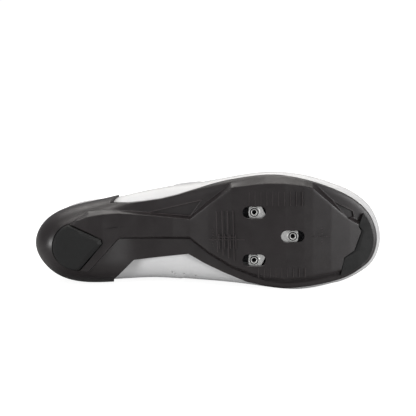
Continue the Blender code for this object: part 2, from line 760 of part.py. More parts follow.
def cut_nut_seats(sole):
    for name, x, y, way in nut_places():
        slot = stadium(x, y, SLOT_LENGTH, SLOT_WIDTH)
        slot = prism(name + "_slot", slot, -HEEL_SEAT, SLOT_SKIN + PLATE_THICKNESS / 2)
        combine(sole, slot, "DIFFERENCE", "MANIFOLD")
        front = PLATE_TAIL + NUT_TRAVEL + NUT_CLEARANCE
        back = PLATE_NOSE + NUT_TRAVEL + NUT_CLEARANCE
        seat = stadium(x + way * (front - back) / 2, y, front + back, PLATE_WIDTH + 2 * NUT_CLEARANCE)
        combine(sole, prism(name + "_seat", seat, SLOT_SKIN, HEEL_SEAT), "DIFFERENCE", "MANIFOLD")


def cut_cores(sole):
    heel_low = HEEL_BASE + PAD_SEAT + CORE_FLOOR
    waist_low = max(row[3] for row in BLOCK) * HEEL_SEAT + CORE_FLOOR
    combine(sole, prism("heel_core", plan(HEEL_CORE), heel_low, 2 * HEEL_SEAT), "DIFFERENCE")
    combine(sole, prism("waist_core", plan(WAIST_CORE), waist_low, 2 * HEEL_SEAT), "DIFFERENCE")


def pocket_cutter(name, outline):
    """A pocket sunk by POCKET_DEPTH into the flange, following its curve."""
    xs = [p[0] for p in outline]
    ys = [p[1] for p in outline]
    stations = np.linspace(min(xs) - POCKET_MARGIN, max(xs) + POCKET_MARGIN, BLOCK_STATIONS)
    rings = []
    for x in stations:
        high = float(underside_height(x)) + POCKET_DEPTH
        low = -HEEL_SEAT
        left, right = min(ys) - POCKET_MARGIN, max(ys) + POCKET_MARGIN
        rings.append(np.array([(x, left, low), (x, right, low), (x, right, high), (x, left, high)]))
    slab = skin(name, rings, None, joined=False, hidden=True)
    tidy(close_ends(slab))
    combine(slab, prism(name + "_outline", outline, -2 * HEEL_SEAT, COLLAR_HEIGHT), "INTERSECT")
    return slab


def make_sole():
    sole = make_shell("sole")
    block = make_block()
    combine(block, prism("toe_pad_room", toe_pad_room(), -HEEL_SEAT, COLLAR_HEIGHT), "DIFFERENCE")
    combine(sole, block, "UNION", "MANIFOLD")
    combine(sole, prism("waist_cut", plan(WAIST_CUT), -HEEL_SEAT, COLLAR_HEIGHT), "DIFFERENCE")
    combine(sole, prism("outer_cut", plan(OUTER_CUT), -HEEL_SEAT, COLLAR_HEIGHT), "DIFFERENCE")
    for number, outline in enumerate(POCKETS):
        combine(sole, pocket_cutter(f"pocket_{number}", plan(outline)), "DIFFERENCE")
    pad_room = prism("heel_pad_room", heel_pad_outline(PAD_GROOVE), -HEEL_SEAT, HEEL_BASE + PAD_SEAT)
    combine(sole, pad_room, "DIFFERENCE", "MANIFOLD")
    cut_cores(sole)
    cut_nut_seats(sole)
    return sole


def make_insole():
    rows = rib_rows(RIBS_PER_SIDE)
    values = row_values(rows)
    out_x, out_y = outward(rows)
    turn = values[..., 6] * FEATHER_TURN
    rings = []
    x, y = spine(rows)
    lift = UPPER_WALL + GAP

    def ring(reach, up):
        px = values[..., 0] * LENGTH + out_x * reach
        py = values[..., 1] * BALL_WIDTH + out_y * reach
        return np.column_stack([px, py, floor_height(px) + up])

    rings.append(np.column_stack([x, y, floor_height(x) + lift]))
    rings.append(ring(-turn - INSOLE_UNDERCUT, lift))
    rings.append(ring(-turn + INSOLE_SPREAD, lift + INSOLE_THICKNESS * 0.5))
    rings.append(ring(-turn + INSOLE_SPREAD, lift + INSOLE_THICKNESS))
    rings.append(np.column_stack([x, y, floor_height(x) + lift + INSOLE_THICKNESS]))
    return tidy(skin("insole", rings, "insole_grey", joined=False))


def section(x, ends, offset, count):
    """A line over the instep: up the outer side from one end, across the throat, down the inner side."""
    sides = []
    for side, end in zip((1, -1), ends):
        rows = np.linspace(3, ROWS - 0.5, ROW_SEARCH) * side
        line = []
        for v in np.linspace(end, THROAT_EDGE, SIDE_POINTS):
            row = np.interp(x, rib_points(rows, v)[:, 0], rows)
            line.append(upper_surface(row, v, offset))
        sides.append(line)
    line = np.array(sides[0] + sides[1][::-1])
    run = np.concatenate([[0], np.cumsum(np.linalg.norm(np.diff(line, axis=0), axis=1))])
    return spline(run, line, np.linspace(0, run[-1], count))


def band(name, sections, thickness, slot):
    """A bent strip: sections are lines across it, thickened along its normals."""
    grid = np.array(sections)
    along = np.gradient(grid, axis=0)
    across = np.gradient(grid, axis=1)
    normal = np.cross(across, along)
    normal /= np.linalg.norm(normal, axis=-1, keepdims=True)
    if normal[len(normal) // 2, normal.shape[1] // 2, 2] < 0:
        normal = -normal
    under = grid
    over = grid + normal * thickness
    rings = [np.concatenate([a, b[::-1]]) for a, b in zip(under, over)]
    made = skin(name, rings, slot, joined=False)
    return tidy(close_ends(made))


def make_strap(name, along, width, lateral_end, medial_end):
    sections = []
    for share in np.linspace(-0.5, 0.5, STRAP_STATIONS):
        shorten = STRAP_ROUNDING * share**4
        ends = (lateral_end + shorten, medial_end + shorten)
        sections.append(section((along + share * width) * LENGTH, ends, STRAP_CLEARANCE, STRAP_POINTS))
    return band(name, sections, STRAP_THICKNESS, "strap_white")


def make_tongue():
    """A padded tongue under the throat, from the vamp to above the collar."""
    depth = -(UPPER_WALL + TONGUE_CLEARANCE + TONGUE_THICKNESS)
    front, back = TONGUE_RUN
    sections = []
    for along in np.linspace(front, back, TONGUE_STATIONS):
        sections.append(section(along * LENGTH, (TONGUE_TUCK, TONGUE_TUCK), depth, TONGUE_POINTS))
    last = sections[-1]
    way = (last - sections[-2]).mean(axis=0)
    way = way / np.linalg.norm(way) + np.array([0, 0, TONGUE_LEAN])
    way /= np.linalg.norm(way)
    middle = last.mean(axis=0)
    for share in TONGUE_TOP:
        draw = np.array([1, 1 - TONGUE_ROUNDING * share, 1])
        sections.append((last - middle) * draw + middle + way * TONGUE_RISE * share)
    return band("tongue", sections, TONGUE_THICKNESS, "tongue_grey")


def solid_points(made):
    """Points, triangles and their exact volume's centre, as the object is evaluated."""
    graph = bpy.context.evaluated_depsgraph_get()
    evaluated = made.evaluated_get(graph)
    mesh = evaluated.to_mesh()
    mesh.calc_loop_triangles()
    points = np.array([v.co for v in mesh.vertices])
    corners = points[np.array([t.vertices for t in mesh.loop_triangles])]
    evaluated.to_mesh_clear()
    volumes = np.einsum("ij,ij->i", corners[:, 0], np.cross(corners[:, 1], corners[:, 2])) / 6
    centre = (corners.sum(axis=1) / 4 * volumes[:, None]).sum(axis=0)
    return points, volumes.sum(), centre


def support(corners, normal, weight):
    """How far inside a facet the weight's line falls, negative where it misses the facet."""
    under = weight + normal * normal.dot(corners[0] - weight)
    middle = sum(corners, Vector()) / len(corners)
    inside = []
    for start, end in zip(corners, corners[1:] + corners[:1]):
        across = normal.cross((end - start).normalized())
        if across.dot(middle - start) < 0:
            across = -across
        inside.append(across.dot(under - start))
    return min(inside)


def resting_turn(parts):
    """The rotation that lays the shoe on the facet of its inner side that its weight holds it on."""
    clouds = []
    mass = 0.0
    moment = np.zeros(3)
    for made in parts:
        points, volume, centre = solid_points(made)
        density = MATERIALS[made.data.materials[0].name][3]
        clouds.append(points)
        mass += volume * density
        moment += centre * density
    weight = Vector(moment / mass)
    bm = bmesh.new()
    for point in np.concatenate(clouds):
        bm.verts.new(point)
    hull = bmesh.ops.convex_hull(bm, input=bm.verts)
    best = (-1.0, Vector((0, 1, 0)))
    for face in hull["geom"]:
        if not isinstance(face, bmesh.types.BMFace):
            continue
        face.normal_update()
        normal = face.normal.copy()
        if normal.dot(face.calc_center_median() - weight) < 0:
            normal = -normal
        if normal.y > SIDEWAYS:
            held = support([corner.co.copy() for corner in face.verts], normal, weight)
            best = max(best, (held, normal), key=lambda found: found[0])
    bm.free()
    down = best[1]
    forward = (Vector((1, 0, 0)) - down * down.x).normalized()
    back = forward.cross(down)
    return Matrix((forward, back, -down)).to_4x4()


def lay_down(parts):
    """Hangs the parts from an empty that turns the shoe on its side, on the floor and over the origin."""
    bpy.context.view_layer.update()
    turn = resting_turn(parts)
    cloud = np.concatenate([solid_points(p)[0] for p in parts])
    turned = cloud @ np.array(turn.to_3x3()).T
    low = turned.min(axis=0)
    high = turned.max(axis=0)
    shift = Matrix.Translation((-(low[0] + high[0]) / 2, -(low[1] + high[1]) / 2, -low[2]))
    frame = bpy.data.objects.new("shoe_frame", None)
    bpy.context.scene.collection.objects.link(frame)
    frame.matrix_world = shift @ turn
    for made in bpy.data.objects:
        if made is not frame and made.parent is None:
            made.parent = frame
    bpy.context.view_layer.update()


def main():
    clear_scene()
    parts = [make_sole(), make_heel_pad(), make_toe_pad(), make_upper(), make_insole(), make_tongue()]
    parts += [make_strap(name, *sizes) for name, sizes in STRAPS.items()]
    parts += [make_nut(*place) for place in nut_places()]
    lay_down(parts)


main()
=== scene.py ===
# %% [markdown]
# # A road cycling shoe, lying on its inner side
#
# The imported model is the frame: every piece at its real size and place. This lesson dresses it. The
# moulded sole, its rubber heel and toe, the white upper, the straps and the tongue are modelled again
# as fine meshes over the plain solids, and each gets its own finish. We work in the shoe's own frame,
# as it stands: +X from heel to toe, +Y to the inner side, +Z up, and lay each piece down at the end.

# %% Load the frame
import json
import math

import bpy
import numpy as np
from mathutils import Matrix, Vector


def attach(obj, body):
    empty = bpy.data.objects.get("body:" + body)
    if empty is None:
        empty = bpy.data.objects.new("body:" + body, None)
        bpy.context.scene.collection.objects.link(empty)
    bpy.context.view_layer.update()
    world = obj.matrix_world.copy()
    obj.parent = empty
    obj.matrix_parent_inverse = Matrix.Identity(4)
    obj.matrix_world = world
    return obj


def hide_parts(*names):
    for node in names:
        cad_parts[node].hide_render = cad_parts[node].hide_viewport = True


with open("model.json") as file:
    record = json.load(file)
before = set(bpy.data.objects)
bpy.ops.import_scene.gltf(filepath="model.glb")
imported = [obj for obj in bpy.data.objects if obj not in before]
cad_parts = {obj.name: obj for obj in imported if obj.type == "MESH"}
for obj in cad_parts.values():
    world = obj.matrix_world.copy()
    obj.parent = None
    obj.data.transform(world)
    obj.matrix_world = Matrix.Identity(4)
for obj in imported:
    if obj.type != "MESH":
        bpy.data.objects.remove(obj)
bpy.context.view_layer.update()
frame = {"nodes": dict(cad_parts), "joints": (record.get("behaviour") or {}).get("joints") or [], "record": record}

print("nodes:", sorted(frame["nodes"]))

# %% [markdown]
# ## From the standing shoe to the lying one
#
# The record gives two facts about how the shoe lies: the way the sole faces, from the flat under its
# heel, and the way to the toe, from the slide of a cleat nut. The third axis is square to both, and the
# heel's flat fixes the place. With that matrix any size measured on the standing shoe finds its place.

# %% The shoe's own axes
MM = 0.001
HEEL_REST = Vector((36 * MM, 5 * MM, 0))

mounts = {mount["name"]: mount for mount in frame["record"]["mounts"]}
to_toe = Vector(frame["joints"][0]["axis"]).normalized()
up = -Vector(mounts["heel_rest"]["axis"]).normalized()
inwards = up.cross(to_toe)
STANDING = Matrix((to_toe, inwards, up)).transposed().to_4x4()
STANDING.translation = Vector(mounts["heel_rest"]["pos_m"]) - STANDING.to_3x3() @ HEEL_REST
print("heel to toe is", [round(value, 3) for value in to_toe], "and up is", [round(value, 3) for value in up])

# %% [markdown]
# ## The shape of the last
#
# A shoe takes its shape from a last. Its named sizes come first, then the tables of ribs that go round
# it: each rib starts under the foot, turns round the feather edge and climbs to the collar or throat.

# %% Sizes
# Driving sizes of the last, measured on the standing shoe
LENGTH = 285 * MM
BALL_WIDTH = 98 * MM
COLLAR_HEIGHT = 88 * MM
INSTEP_HEIGHT = 90 * MM
HEEL_SEAT = 24 * MM
BALL_SEAT = 9.2 * MM
TOE_SEAT = 22 * MM

# Upper
UPPER_WALL = 2.2 * MM
FEATHER_TURN = 10 * MM
SIDE_RISE = 15 * MM
LASTING_MARGIN = 16 * MM
HEEL_ROUNDING = 0.85 * FEATHER_TURN
FLANGE_FLATNESS = 0.6

# Sole
GAP = 0.3 * MM
CUP_WALL = 2.0 * MM
FLANGE = 3.2 * MM
HEEL_BASE = 3.5 * MM
POCKET_DEPTH = 1.5 * MM
CORE_FLOOR = 2.4 * MM
BLOCK_SINK = 0.5 * FLANGE

# Heel pad
PAD_RADIUS = 19.3 * MM
PAD_CENTRE = (35.6 * MM, 5.0 * MM)
PAD_SEAT = 4.2 * MM
PAD_GROOVE = 0.5 * MM
PAD_CHAMFER = 3.0 * MM
PAD_RIM = 1.1 * MM

# Toe pad
TOE_PAD_INSET = 2.6 * MM
TOE_GROOVE = 0.5 * MM

# Cleat nuts: three, in slots that run along the shoe
NUT_ROW = 180.3 * MM
NUT_AXIS = -4.1 * MM
NUT_SPREAD = 39.1 * MM
NUT_REACH = 31.3 * MM
SLOT_LENGTH = 19 * MM
SLOT_WIDTH = 9.4 * MM
SLOT_SKIN = 2.6 * MM
BOSS_RADIUS = 4.4 * MM
BOSS_RECESS = 0.8 * MM
THREAD_RADIUS = 2.1 * MM
PLATE_WIDTH = 12.4 * MM
PLATE_THICKNESS = 1.6 * MM
PLATE_TAIL = 11 * MM
PLATE_NOSE = 5.5 * MM
NUT_TRAVEL = 4.5 * MM
NUT_CLEARANCE = 0.8 * MM

# Inside and on top
INSOLE_THICKNESS = 3.0 * MM
INSOLE_SPREAD = 1.8 * MM
INSOLE_UNDERCUT = 0.5 * MM
TONGUE_THICKNESS = 3.6 * MM
TONGUE_RISE = 16 * MM
TONGUE_CLEARANCE = 0.8 * MM
STRAP_THICKNESS = 1.8 * MM
STRAP_CLEARANCE = 0.6 * MM

# How finely round things are cut
ARC_STEPS = 48
SLOT_STEPS = 14
SECTION_ROWS = 60
SECTION_PLACES = 5

# %% Tables of the last and the sole
# Ribs from the heel round each side to the toe. along, lateral and medial place the widest line of the
# upper, top_* its upper edge: along as shares of LENGTH, sideways as shares of BALL_WIDTH with medial
# positive. collar and instep are shares of COLLAR_HEIGHT and INSTEP_HEIGHT, added up.
OUTLINE = [
    # along, lateral, medial, top_along, top_lateral, top_medial, collar, instep
    (0.009, 0.051, 0.051, 0.032, 0.051, 0.051, 1.000, 0.000),
    (0.026, -0.087, 0.189, 0.042, -0.061, 0.163, 0.994, 0.000),
    (0.070, -0.188, 0.305, 0.077, -0.173, 0.276, 0.955, 0.000),
    (0.133, -0.252, 0.361, 0.133, -0.240, 0.337, 0.869, 0.000),
    (0.204, -0.297, 0.366, 0.200, -0.270, 0.342, 0.812, 0.000),
    (0.274, -0.347, 0.357, 0.263, -0.265, 0.316, 0.600, 0.225),
    (0.344, -0.391, 0.350, 0.323, -0.235, 0.276, 0.250, 0.655),
    (0.414, -0.427, 0.357, 0.372, -0.184, 0.214, 0.000, 0.994),
    (0.484, -0.461, 0.367, 0.425, -0.138, 0.133, 0.000, 0.956),
    (0.554, -0.503, 0.378, 0.484, -0.128, 0.097, 0.000, 0.878),
    (0.625, -0.541, 0.397, 0.544, -0.128, 0.066, 0.000, 0.800),
    (0.691, -0.557, 0.421, 0.596, -0.128, 0.046, 0.000, 0.739),
    (0.761, -0.539, 0.434, 0.639, -0.124, 0.031, 0.000, 0.692),
    (0.832, -0.488, 0.407, 0.667, -0.114, 0.015, 0.000, 0.659),
    (0.902, -0.404, 0.352, 0.682, -0.092, -0.008, 0.000, 0.642),
    (0.950, -0.311, 0.281, 0.689, -0.067, -0.031, 0.000, 0.636),
    (0.983, -0.186, 0.190, 0.691, -0.057, -0.041, 0.000, 0.634),
    (1.000, 0.010, 0.010, 0.692, -0.049, -0.049, 0.000, 0.633),
]

# The same ribs: how the wall turns and climbs. turn_* are shares of FEATHER_TURN, rise of SIDE_RISE,
# margin_* of LASTING_MARGIN. climb, crown_out and crown_up shape the side, rim_* say how far up the rib
# the sole covers it, and heel is how much of the sole below is filled down to the heel's base.
WALL = [
    # turn_lat, turn_med, rise, margin_lat, margin_med, climb, crown_out, crown_up, rim_lat, rim_med
    (1.00, 1.00, 0.62, 1.10, 1.10, 0.35, 0.25, -0.40, 0.440, 0.440),
    (1.00, 1.00, 0.62, 1.10, 1.10, 0.35, 0.25, -0.40, 0.440, 0.440),
    (1.05, 1.05, 0.63, 1.10, 1.10, 0.35, 0.25, -0.40, 0.440, 0.440),
    (1.10, 1.10, 0.66, 1.10, 1.20, 0.35, 0.25, -0.40, 0.440, 0.440),
    (1.20, 1.30, 0.72, 1.10, 1.35, 0.35, 0.25, -0.40, 0.435, 0.435),
    (1.40, 1.70, 0.88, 1.10, 1.55, 0.35, 0.28, -0.33, 0.415, 0.415),
    (1.50, 1.95, 1.08, 1.10, 1.65, 0.36, 0.33, -0.22, 0.340, 0.340),
    (1.40, 2.00, 1.16, 1.10, 1.65, 0.38, 0.40, -0.10, 0.285, 0.285),
    (1.20, 1.70, 1.14, 1.10, 1.50, 0.38, 0.42, -0.05, 0.288, 0.272),
    (1.05, 1.40, 1.06, 1.10, 1.30, 0.38, 0.42, -0.05, 0.300, 0.272),
    (1.00, 1.10, 0.97, 1.10, 1.20, 0.38, 0.42, -0.05, 0.297, 0.272),
    (1.00, 1.00, 0.90, 1.10, 1.10, 0.38, 0.42, -0.05, 0.293, 0.287),
    (1.00, 1.00, 0.88, 1.10, 1.10, 0.38, 0.42, -0.05, 0.280, 0.268),
    (1.00, 1.00, 0.86, 1.10, 1.10, 0.45, 0.42, -0.12, 0.270, 0.265),
    (1.00, 1.00, 0.80, 1.10, 1.10, 0.55, 0.45, -0.15, 0.265, 0.268),
    (1.00, 1.00, 0.75, 1.10, 1.10, 0.62, 0.50, -0.18, 0.260, 0.260),
    (1.00, 1.00, 0.72, 1.10, 1.10, 0.68, 0.54, -0.20, 0.262, 0.262),
    (1.00, 1.00, 0.70, 1.10, 1.10, 0.70, 0.55, -0.20, 0.264, 0.264),
]

# Height of the last's bottom: heel and toe say how near it is to HEEL_SEAT and TOE_SEAT, from BALL_SEAT.
# fill says how far the sole is filled from its flange down to HEEL_BASE.
FLOOR = [
    # along, heel, toe, fill
    (0.00, 1.00, 0.00, 1.00),
    (0.08, 0.96, 0.00, 1.00),
    (0.16, 0.91, 0.00, 0.97),
    (0.22, 0.86, 0.00, 0.72),
    (0.28, 0.79, 0.00, 0.30),
    (0.35, 0.65, 0.00, 0.05),
    (0.45, 0.42, 0.00, 0.00),
    (0.55, 0.16, 0.00, 0.00),
    (0.63, 0.03, 0.00, 0.00),
    (0.72, 0.00, 0.00, 0.00),
    (0.79, 0.00, 0.09, 0.00),
    (0.86, 0.00, 0.29, 0.00),
    (0.93, 0.00, 0.60, 0.00),
    (1.00, 0.00, 1.00, 0.00),
]

# The raised block under the sole: heel platform, waist beam and forefoot platform, a row for each station.
# lateral and medial are shares of BALL_WIDTH. heel and toe lift its underside, as shares of HEEL_SEAT and
# TOE_SEAT. The drafts are the sideways run of its walls, as shares of FLANGE.
BLOCK = [
    # along, lateral, medial, heel, toe, draft_lateral, draft_medial
    (0.090, -0.100, 0.170, 0.12, 0.00, 0.9, 0.9),
    (0.126, -0.165, 0.250, 0.12, 0.00, 1.0, 0.7),
    (0.160, -0.203, 0.262, 0.12, 0.00, 1.6, 0.7),
    (0.200, -0.222, 0.133, 0.16, 0.00, 1.5, 0.8),
    (0.247, -0.228, -0.020, 0.26, 0.00, 1.2, 0.9),
    (0.300, -0.214, -0.022, 0.34, 0.00, 0.9, 0.9),
    (0.350, -0.202, -0.025, 0.37, 0.00, 0.7, 0.9),
    (0.400, -0.189, -0.027, 0.35, 0.00, 0.5, 0.9),
    (0.449, -0.176, -0.029, 0.27, 0.00, 0.5, 1.0),
    (0.502, -0.302, 0.089, 0.16, 0.00, 0.9, 1.1),
    (0.568, -0.447, 0.200, 0.05, 0.00, 1.0, 1.2),
    (0.625, -0.470, 0.260, 0.00, 0.00, 1.6, 1.4),
    (0.666, -0.480, 0.295, 0.00, 0.00, 1.9, 1.7),
    (0.720, -0.478, 0.309, 0.00, 0.00, 1.9, 2.0),
    (0.775, -0.458, 0.300, 0.00, 0.05, 1.9, 2.0),
    (0.800, -0.440, 0.291, 0.00, 0.09, 1.7, 2.0),
    (0.853, -0.307, 0.268, 0.00, 0.21, 1.4, 1.9),
    (0.907, -0.172, 0.236, 0.00, 0.37, 1.1, 1.8),
    (0.945, -0.110, 0.200, 0.00, 0.50, 1.0, 1.6),
]

# Cut-out of the sole at the inner waist, where the upper shows: along LENGTH, across BALL_WIDTH
WAIST_CUT = [
    (0.224, 0.520), (0.228, 0.350), (0.288, 0.176), (0.445, 0.122), (0.490, 0.196),
    (0.545, 0.270), (0.600, 0.335), (0.648, 0.400), (0.655, 0.520),
]

# Cut-out of the sole at the outer waist, between heel cup and flange: along LENGTH, across BALL_WIDTH
OUTER_CUT = [
    (0.220, -0.297), (0.275, -0.299), (0.321, -0.315), (0.368, -0.337), (0.414, -0.371),
    (0.461, -0.414), (0.507, -0.457), (0.530, -0.620), (0.256, -0.620), (0.252, -0.362),
]

# Sunk pockets of the outer flange
POCKETS = [
    [(0.327, -0.221), (0.452, -0.200), (0.484, -0.333)],
    [(0.857, -0.328), (0.902, -0.175), (0.920, -0.190), (0.916, -0.240)],
]

# The sole is cored out from above, under the insole, down to CORE_FLOOR over the pad's seat or the beam
HEEL_CORE = [
    (0.050, -0.060), (0.090, -0.140), (0.150, -0.185), (0.215, -0.190), (0.215, 0.090),
    (0.180, 0.240), (0.110, 0.240), (0.060, 0.165),
]
WAIST_CORE = [(0.235, -0.185), (0.440, -0.140), (0.440, -0.065), (0.235, -0.060)]

# Back edge of the toe pad, from the inner side outwards, and the corners of the heel pad
TOE_PAD_EDGE = [
    (0.872, 0.420), (0.893, 0.145), (0.922, 0.087), (0.942, -0.071), (0.933, -0.114),
    (0.960, -0.330),
]
PAD_TIP = [(0.1975, -0.010), (0.2000, 0.024)]
PAD_ARC = (-108, 83)

# The toe pad's underside goes on from the block's last rows to a share of TOE_SEAT at the tip. Its rounded
# edge follows the rows near the toe, as many on each side.
TOE_PAD_LIFT = 0.72
TOE_PAD_FROM = 0.79
TOE_PAD_ROWS = 4.2
TOE_PAD_POINTS = 61

# Line down the middle of the block, where the rings of the sole's net end: along LENGTH, across BALL_WIDTH
MIDDLE_START = 0.11
MIDDLE_REACH = 0.80
MIDDLE_LINE = [(0.10, 0.051), (0.17, 0.010), (0.235, -0.115), (0.45, -0.103), (0.62, -0.080), (1.0, -0.030)]

# Straps: where their middle lies and how wide they are along LENGTH, and the place up the ribs that each
# end reaches down to on the outer and on the inner side
STRAPS = {
    # along, width, lateral_end, medial_end
    "strap_toe": (0.655, 0.070, 0.62, 0.80),
    "strap_middle": (0.555, 0.070, 0.60, 0.80),
    "strap_instep": (0.445, 0.085, 0.55, 0.80),
}
STRAP_ROUNDING = 0.6

# Tongue: its front and back along LENGTH, the place up the ribs where it is tucked in, and its drawn-in top
TONGUE_RUN = (0.672, 0.375)
TONGUE_TUCK = 0.83
TONGUE_ROUNDING = 0.34
TONGUE_LEAN = 0.35
THROAT_EDGE = 0.96

# Places up a rib, from 0 at the margin under the foot to 1 at the top: the turn's start, and its end
V_TURN = 0.2
V_SIDE = 0.4

# Columns of FLOOR and of what row_values gives
HEEL, TOE, FILL = 1, 2, 3
ALONG, SIDE, TURN, RISE, RIM = 0, 1, 6, 7, 12
ROWS = len(OUTLINE) - 1

# %% [markdown]
# ## Reading the tables
#
# A natural cubic spline runs through the table's rows, so the shoe is smooth however finely we cut it.
# Every piece that follows the foot reads its place from the same rib: the upper, sole, insole and straps.

# %% Curves through the tables
def bends(knots, values):
    """Second differences of the natural cubic spline through the values at the knots."""
    step = np.diff(knots)
    count = len(knots)
    matrix = np.eye(count)
    right = np.zeros((count,) + values.shape[1:])
    slope = np.diff(values, axis=0) / step.reshape(-1, *[1] * (values.ndim - 1))
    for i in range(1, count - 1):
        matrix[i, i - 1 : i + 2] = step[i - 1], 2 * (step[i - 1] + step[i]), step[i]
        right[i] = 6 * (slope[i] - slope[i - 1])
    return np.linalg.solve(matrix, right.reshape(count, -1)).reshape(right.shape)


def spline(knots, values, at, bend=None):
    """Natural cubic spline through the values at the knots, read at the places in at."""
    knots = np.asarray(knots, float)
    values = np.asarray(values, float)
    if bend is None:
        bend = bends(knots, values)
    at = np.clip(np.asarray(at, float), knots[0], knots[-1])
    i = np.clip(np.searchsorted(knots, at, side="right") - 1, 0, len(knots) - 2)
    shape = at.shape + (1,) * (values.ndim - 1)
    h = (knots[i + 1] - knots[i]).reshape(shape)
    a = (knots[i + 1] - at).reshape(shape) / h
    b = 1 - a
    curve = (a**3 - a) * bend[i] + (b**3 - b) * bend[i + 1]
    return a * values[i] + b * values[i + 1] + curve * h * h / 6


def around(lateral, medial):
    """Values of the rows once round the shoe, and a little further, so that a spline closes smoothly."""
    loop = list(lateral) + list(medial[-2:0:-1])
    return np.array(loop[-6:] + loop + loop[:7], float)


def loop_table():
    """Knots, values and bends of all the columns once round the shoe."""
    outline = np.array(OUTLINE)
    wall = np.array(WALL)
    lateral = np.column_stack([outline[:, [0, 1, 3, 4, 6, 7]], wall[:, [0, 2, 3, 5, 6, 7, 8]]])
    medial = np.column_stack([outline[:, [0, 2, 3, 5, 6, 7]], wall[:, [1, 2, 4, 5, 6, 7, 9]]])
    knots = np.arange(-6.0, 2 * ROWS + 7)
    values = around(lateral, medial)
    return knots, values, bends(knots, values)


LOOP = loop_table()


def row_values(row):
    """Everything the tables say at places round the shoe: 0 at the heel, ROWS at the toe, 2 ROWS back."""
    knots, values, bend = LOOP
    return spline(knots, values, np.mod(row, 2 * ROWS), bend)


def profile(column, x):
    """A column of FLOOR at distances x along the shoe."""
    table = np.array(FLOOR)
    return spline(table[:, 0] * LENGTH, table[:, column], x)


def floor_height(x):
    """Height of the last's bottom."""
    return BALL_SEAT + (HEEL_SEAT - BALL_SEAT) * profile(HEEL, x) + (TOE_SEAT - BALL_SEAT) * profile(TOE, x)


def underside_height(x):
    """Height of the sole's own underside, outside the raised block."""
    fill = np.clip(profile(FILL, x), 0, 1)
    return (floor_height(x) - FLANGE) * (1 - fill) + HEEL_BASE * fill


def outward(row):
    """Unit direction square to the widest line, pointing out of the shoe, seen from above."""
    step = 1e-3
    before = row_values(row - step)
    after = row_values(row + step)
    along = (after[..., ALONG] - before[..., ALONG]) * LENGTH
    across = (after[..., SIDE] - before[..., SIDE]) * BALL_WIDTH
    size = np.hypot(along, across)
    return across / size, -along / size


def rib_points(row, v):
    """Points of the upper's outer face: v is 0 at the margin's inner edge and 1 at the collar or throat."""
    row, v = np.broadcast_arrays(np.asarray(row, float), np.asarray(v, float))
    along, side, top_along, top_side, collar, instep, turn, rise, margin, climb, out, up, _ = np.moveaxis(
        row_values(row), -1, 0
    )
    out_x, out_y = outward(row)
    turn = turn * FEATHER_TURN
    rise = rise * SIDE_RISE
    margin = margin * LASTING_MARGIN
    flat = np.clip(v / V_TURN, 0, 1)
    angle = np.clip((v - V_TURN) / (V_SIDE - V_TURN), 0, 1) * math.pi / 2
    reach = -margin + (margin - turn) * flat + turn * np.sin(angle)
    low = np.stack([along * LENGTH + out_x * reach, side * BALL_WIDTH + out_y * reach], -1)
    low = np.concatenate([low, (floor_height(low[..., 0]) + rise * (1 - np.cos(angle)))[..., None]], -1)
    start = np.stack([along * LENGTH, side * BALL_WIDTH, floor_height(along * LENGTH) + rise], -1)
    top = collar * COLLAR_HEIGHT + instep * INSTEP_HEIGHT
    end = np.stack([top_along * LENGTH, top_side * BALL_WIDTH, top], -1)
    height = end[..., 2] - start[..., 2]
    first = start.copy()
    first[..., 2] += climb * height
    second = end + out[..., None] * (start - end) * np.array([1, 1, 0])
    second[..., 2] += up * height
    s = np.clip((v - V_SIDE) / (1 - V_SIDE), 0, 1)[..., None]
    rest = 1 - s
    side_curve = rest**3 * start + 3 * s * rest**2 * first + 3 * s * s * rest * second + s**3 * end
    return np.where((v < V_SIDE)[..., None], low, side_curve)


def upper_surface(row, v, offset):
    """The upper's outer face moved out by offset, or in where offset is negative."""
    row, v, offset = np.broadcast_arrays(*(np.asarray(value, float) for value in (row, v, offset)))
    step_row = 0.02
    step_v = 0.006
    low = np.clip(v - step_v, 0, 1)
    high = np.clip(v + step_v, 0, 1)
    along = rib_points(row + step_row, v) - rib_points(row - step_row, v)
    upwards = rib_points(row, high) - rib_points(row, low)
    normal = np.cross(along, upwards)
    normal /= np.linalg.norm(normal, axis=-1, keepdims=True)
    return rib_points(row, v) + normal * offset[..., None]


def rib_rows(per_side):
    """Places once round the shoe."""
    return np.linspace(0, 2 * ROWS, 2 * per_side + 1)[:-1]


def plan(points):
    """Plan points given as shares of LENGTH and BALL_WIDTH."""
    return [(along * LENGTH, across * BALL_WIDTH) for along, across in points]


def stadium(x, y, length, width):
    """Outline of a slot with round ends, along X."""
    radius = width / 2
    straight = length / 2 - radius
    half_turn = np.linspace(-math.pi / 2, math.pi / 2, SLOT_STEPS + 1)
    points = [(x + straight + radius * math.cos(a), y + radius * math.sin(a)) for a in half_turn]
    return points + [(x - straight - radius * math.cos(a), y - radius * math.sin(a)) for a in half_turn]


def middle_line(row):
    """The line along the middle of the block that the sole's rings run to, in plan."""
    x = LENGTH * MIDDLE_START + row_values(row)[..., ALONG] * LENGTH * MIDDLE_REACH
    line = np.array(MIDDLE_LINE)
    return x, np.interp(x / LENGTH, line[:, 0], line[:, 1]) * BALL_WIDTH


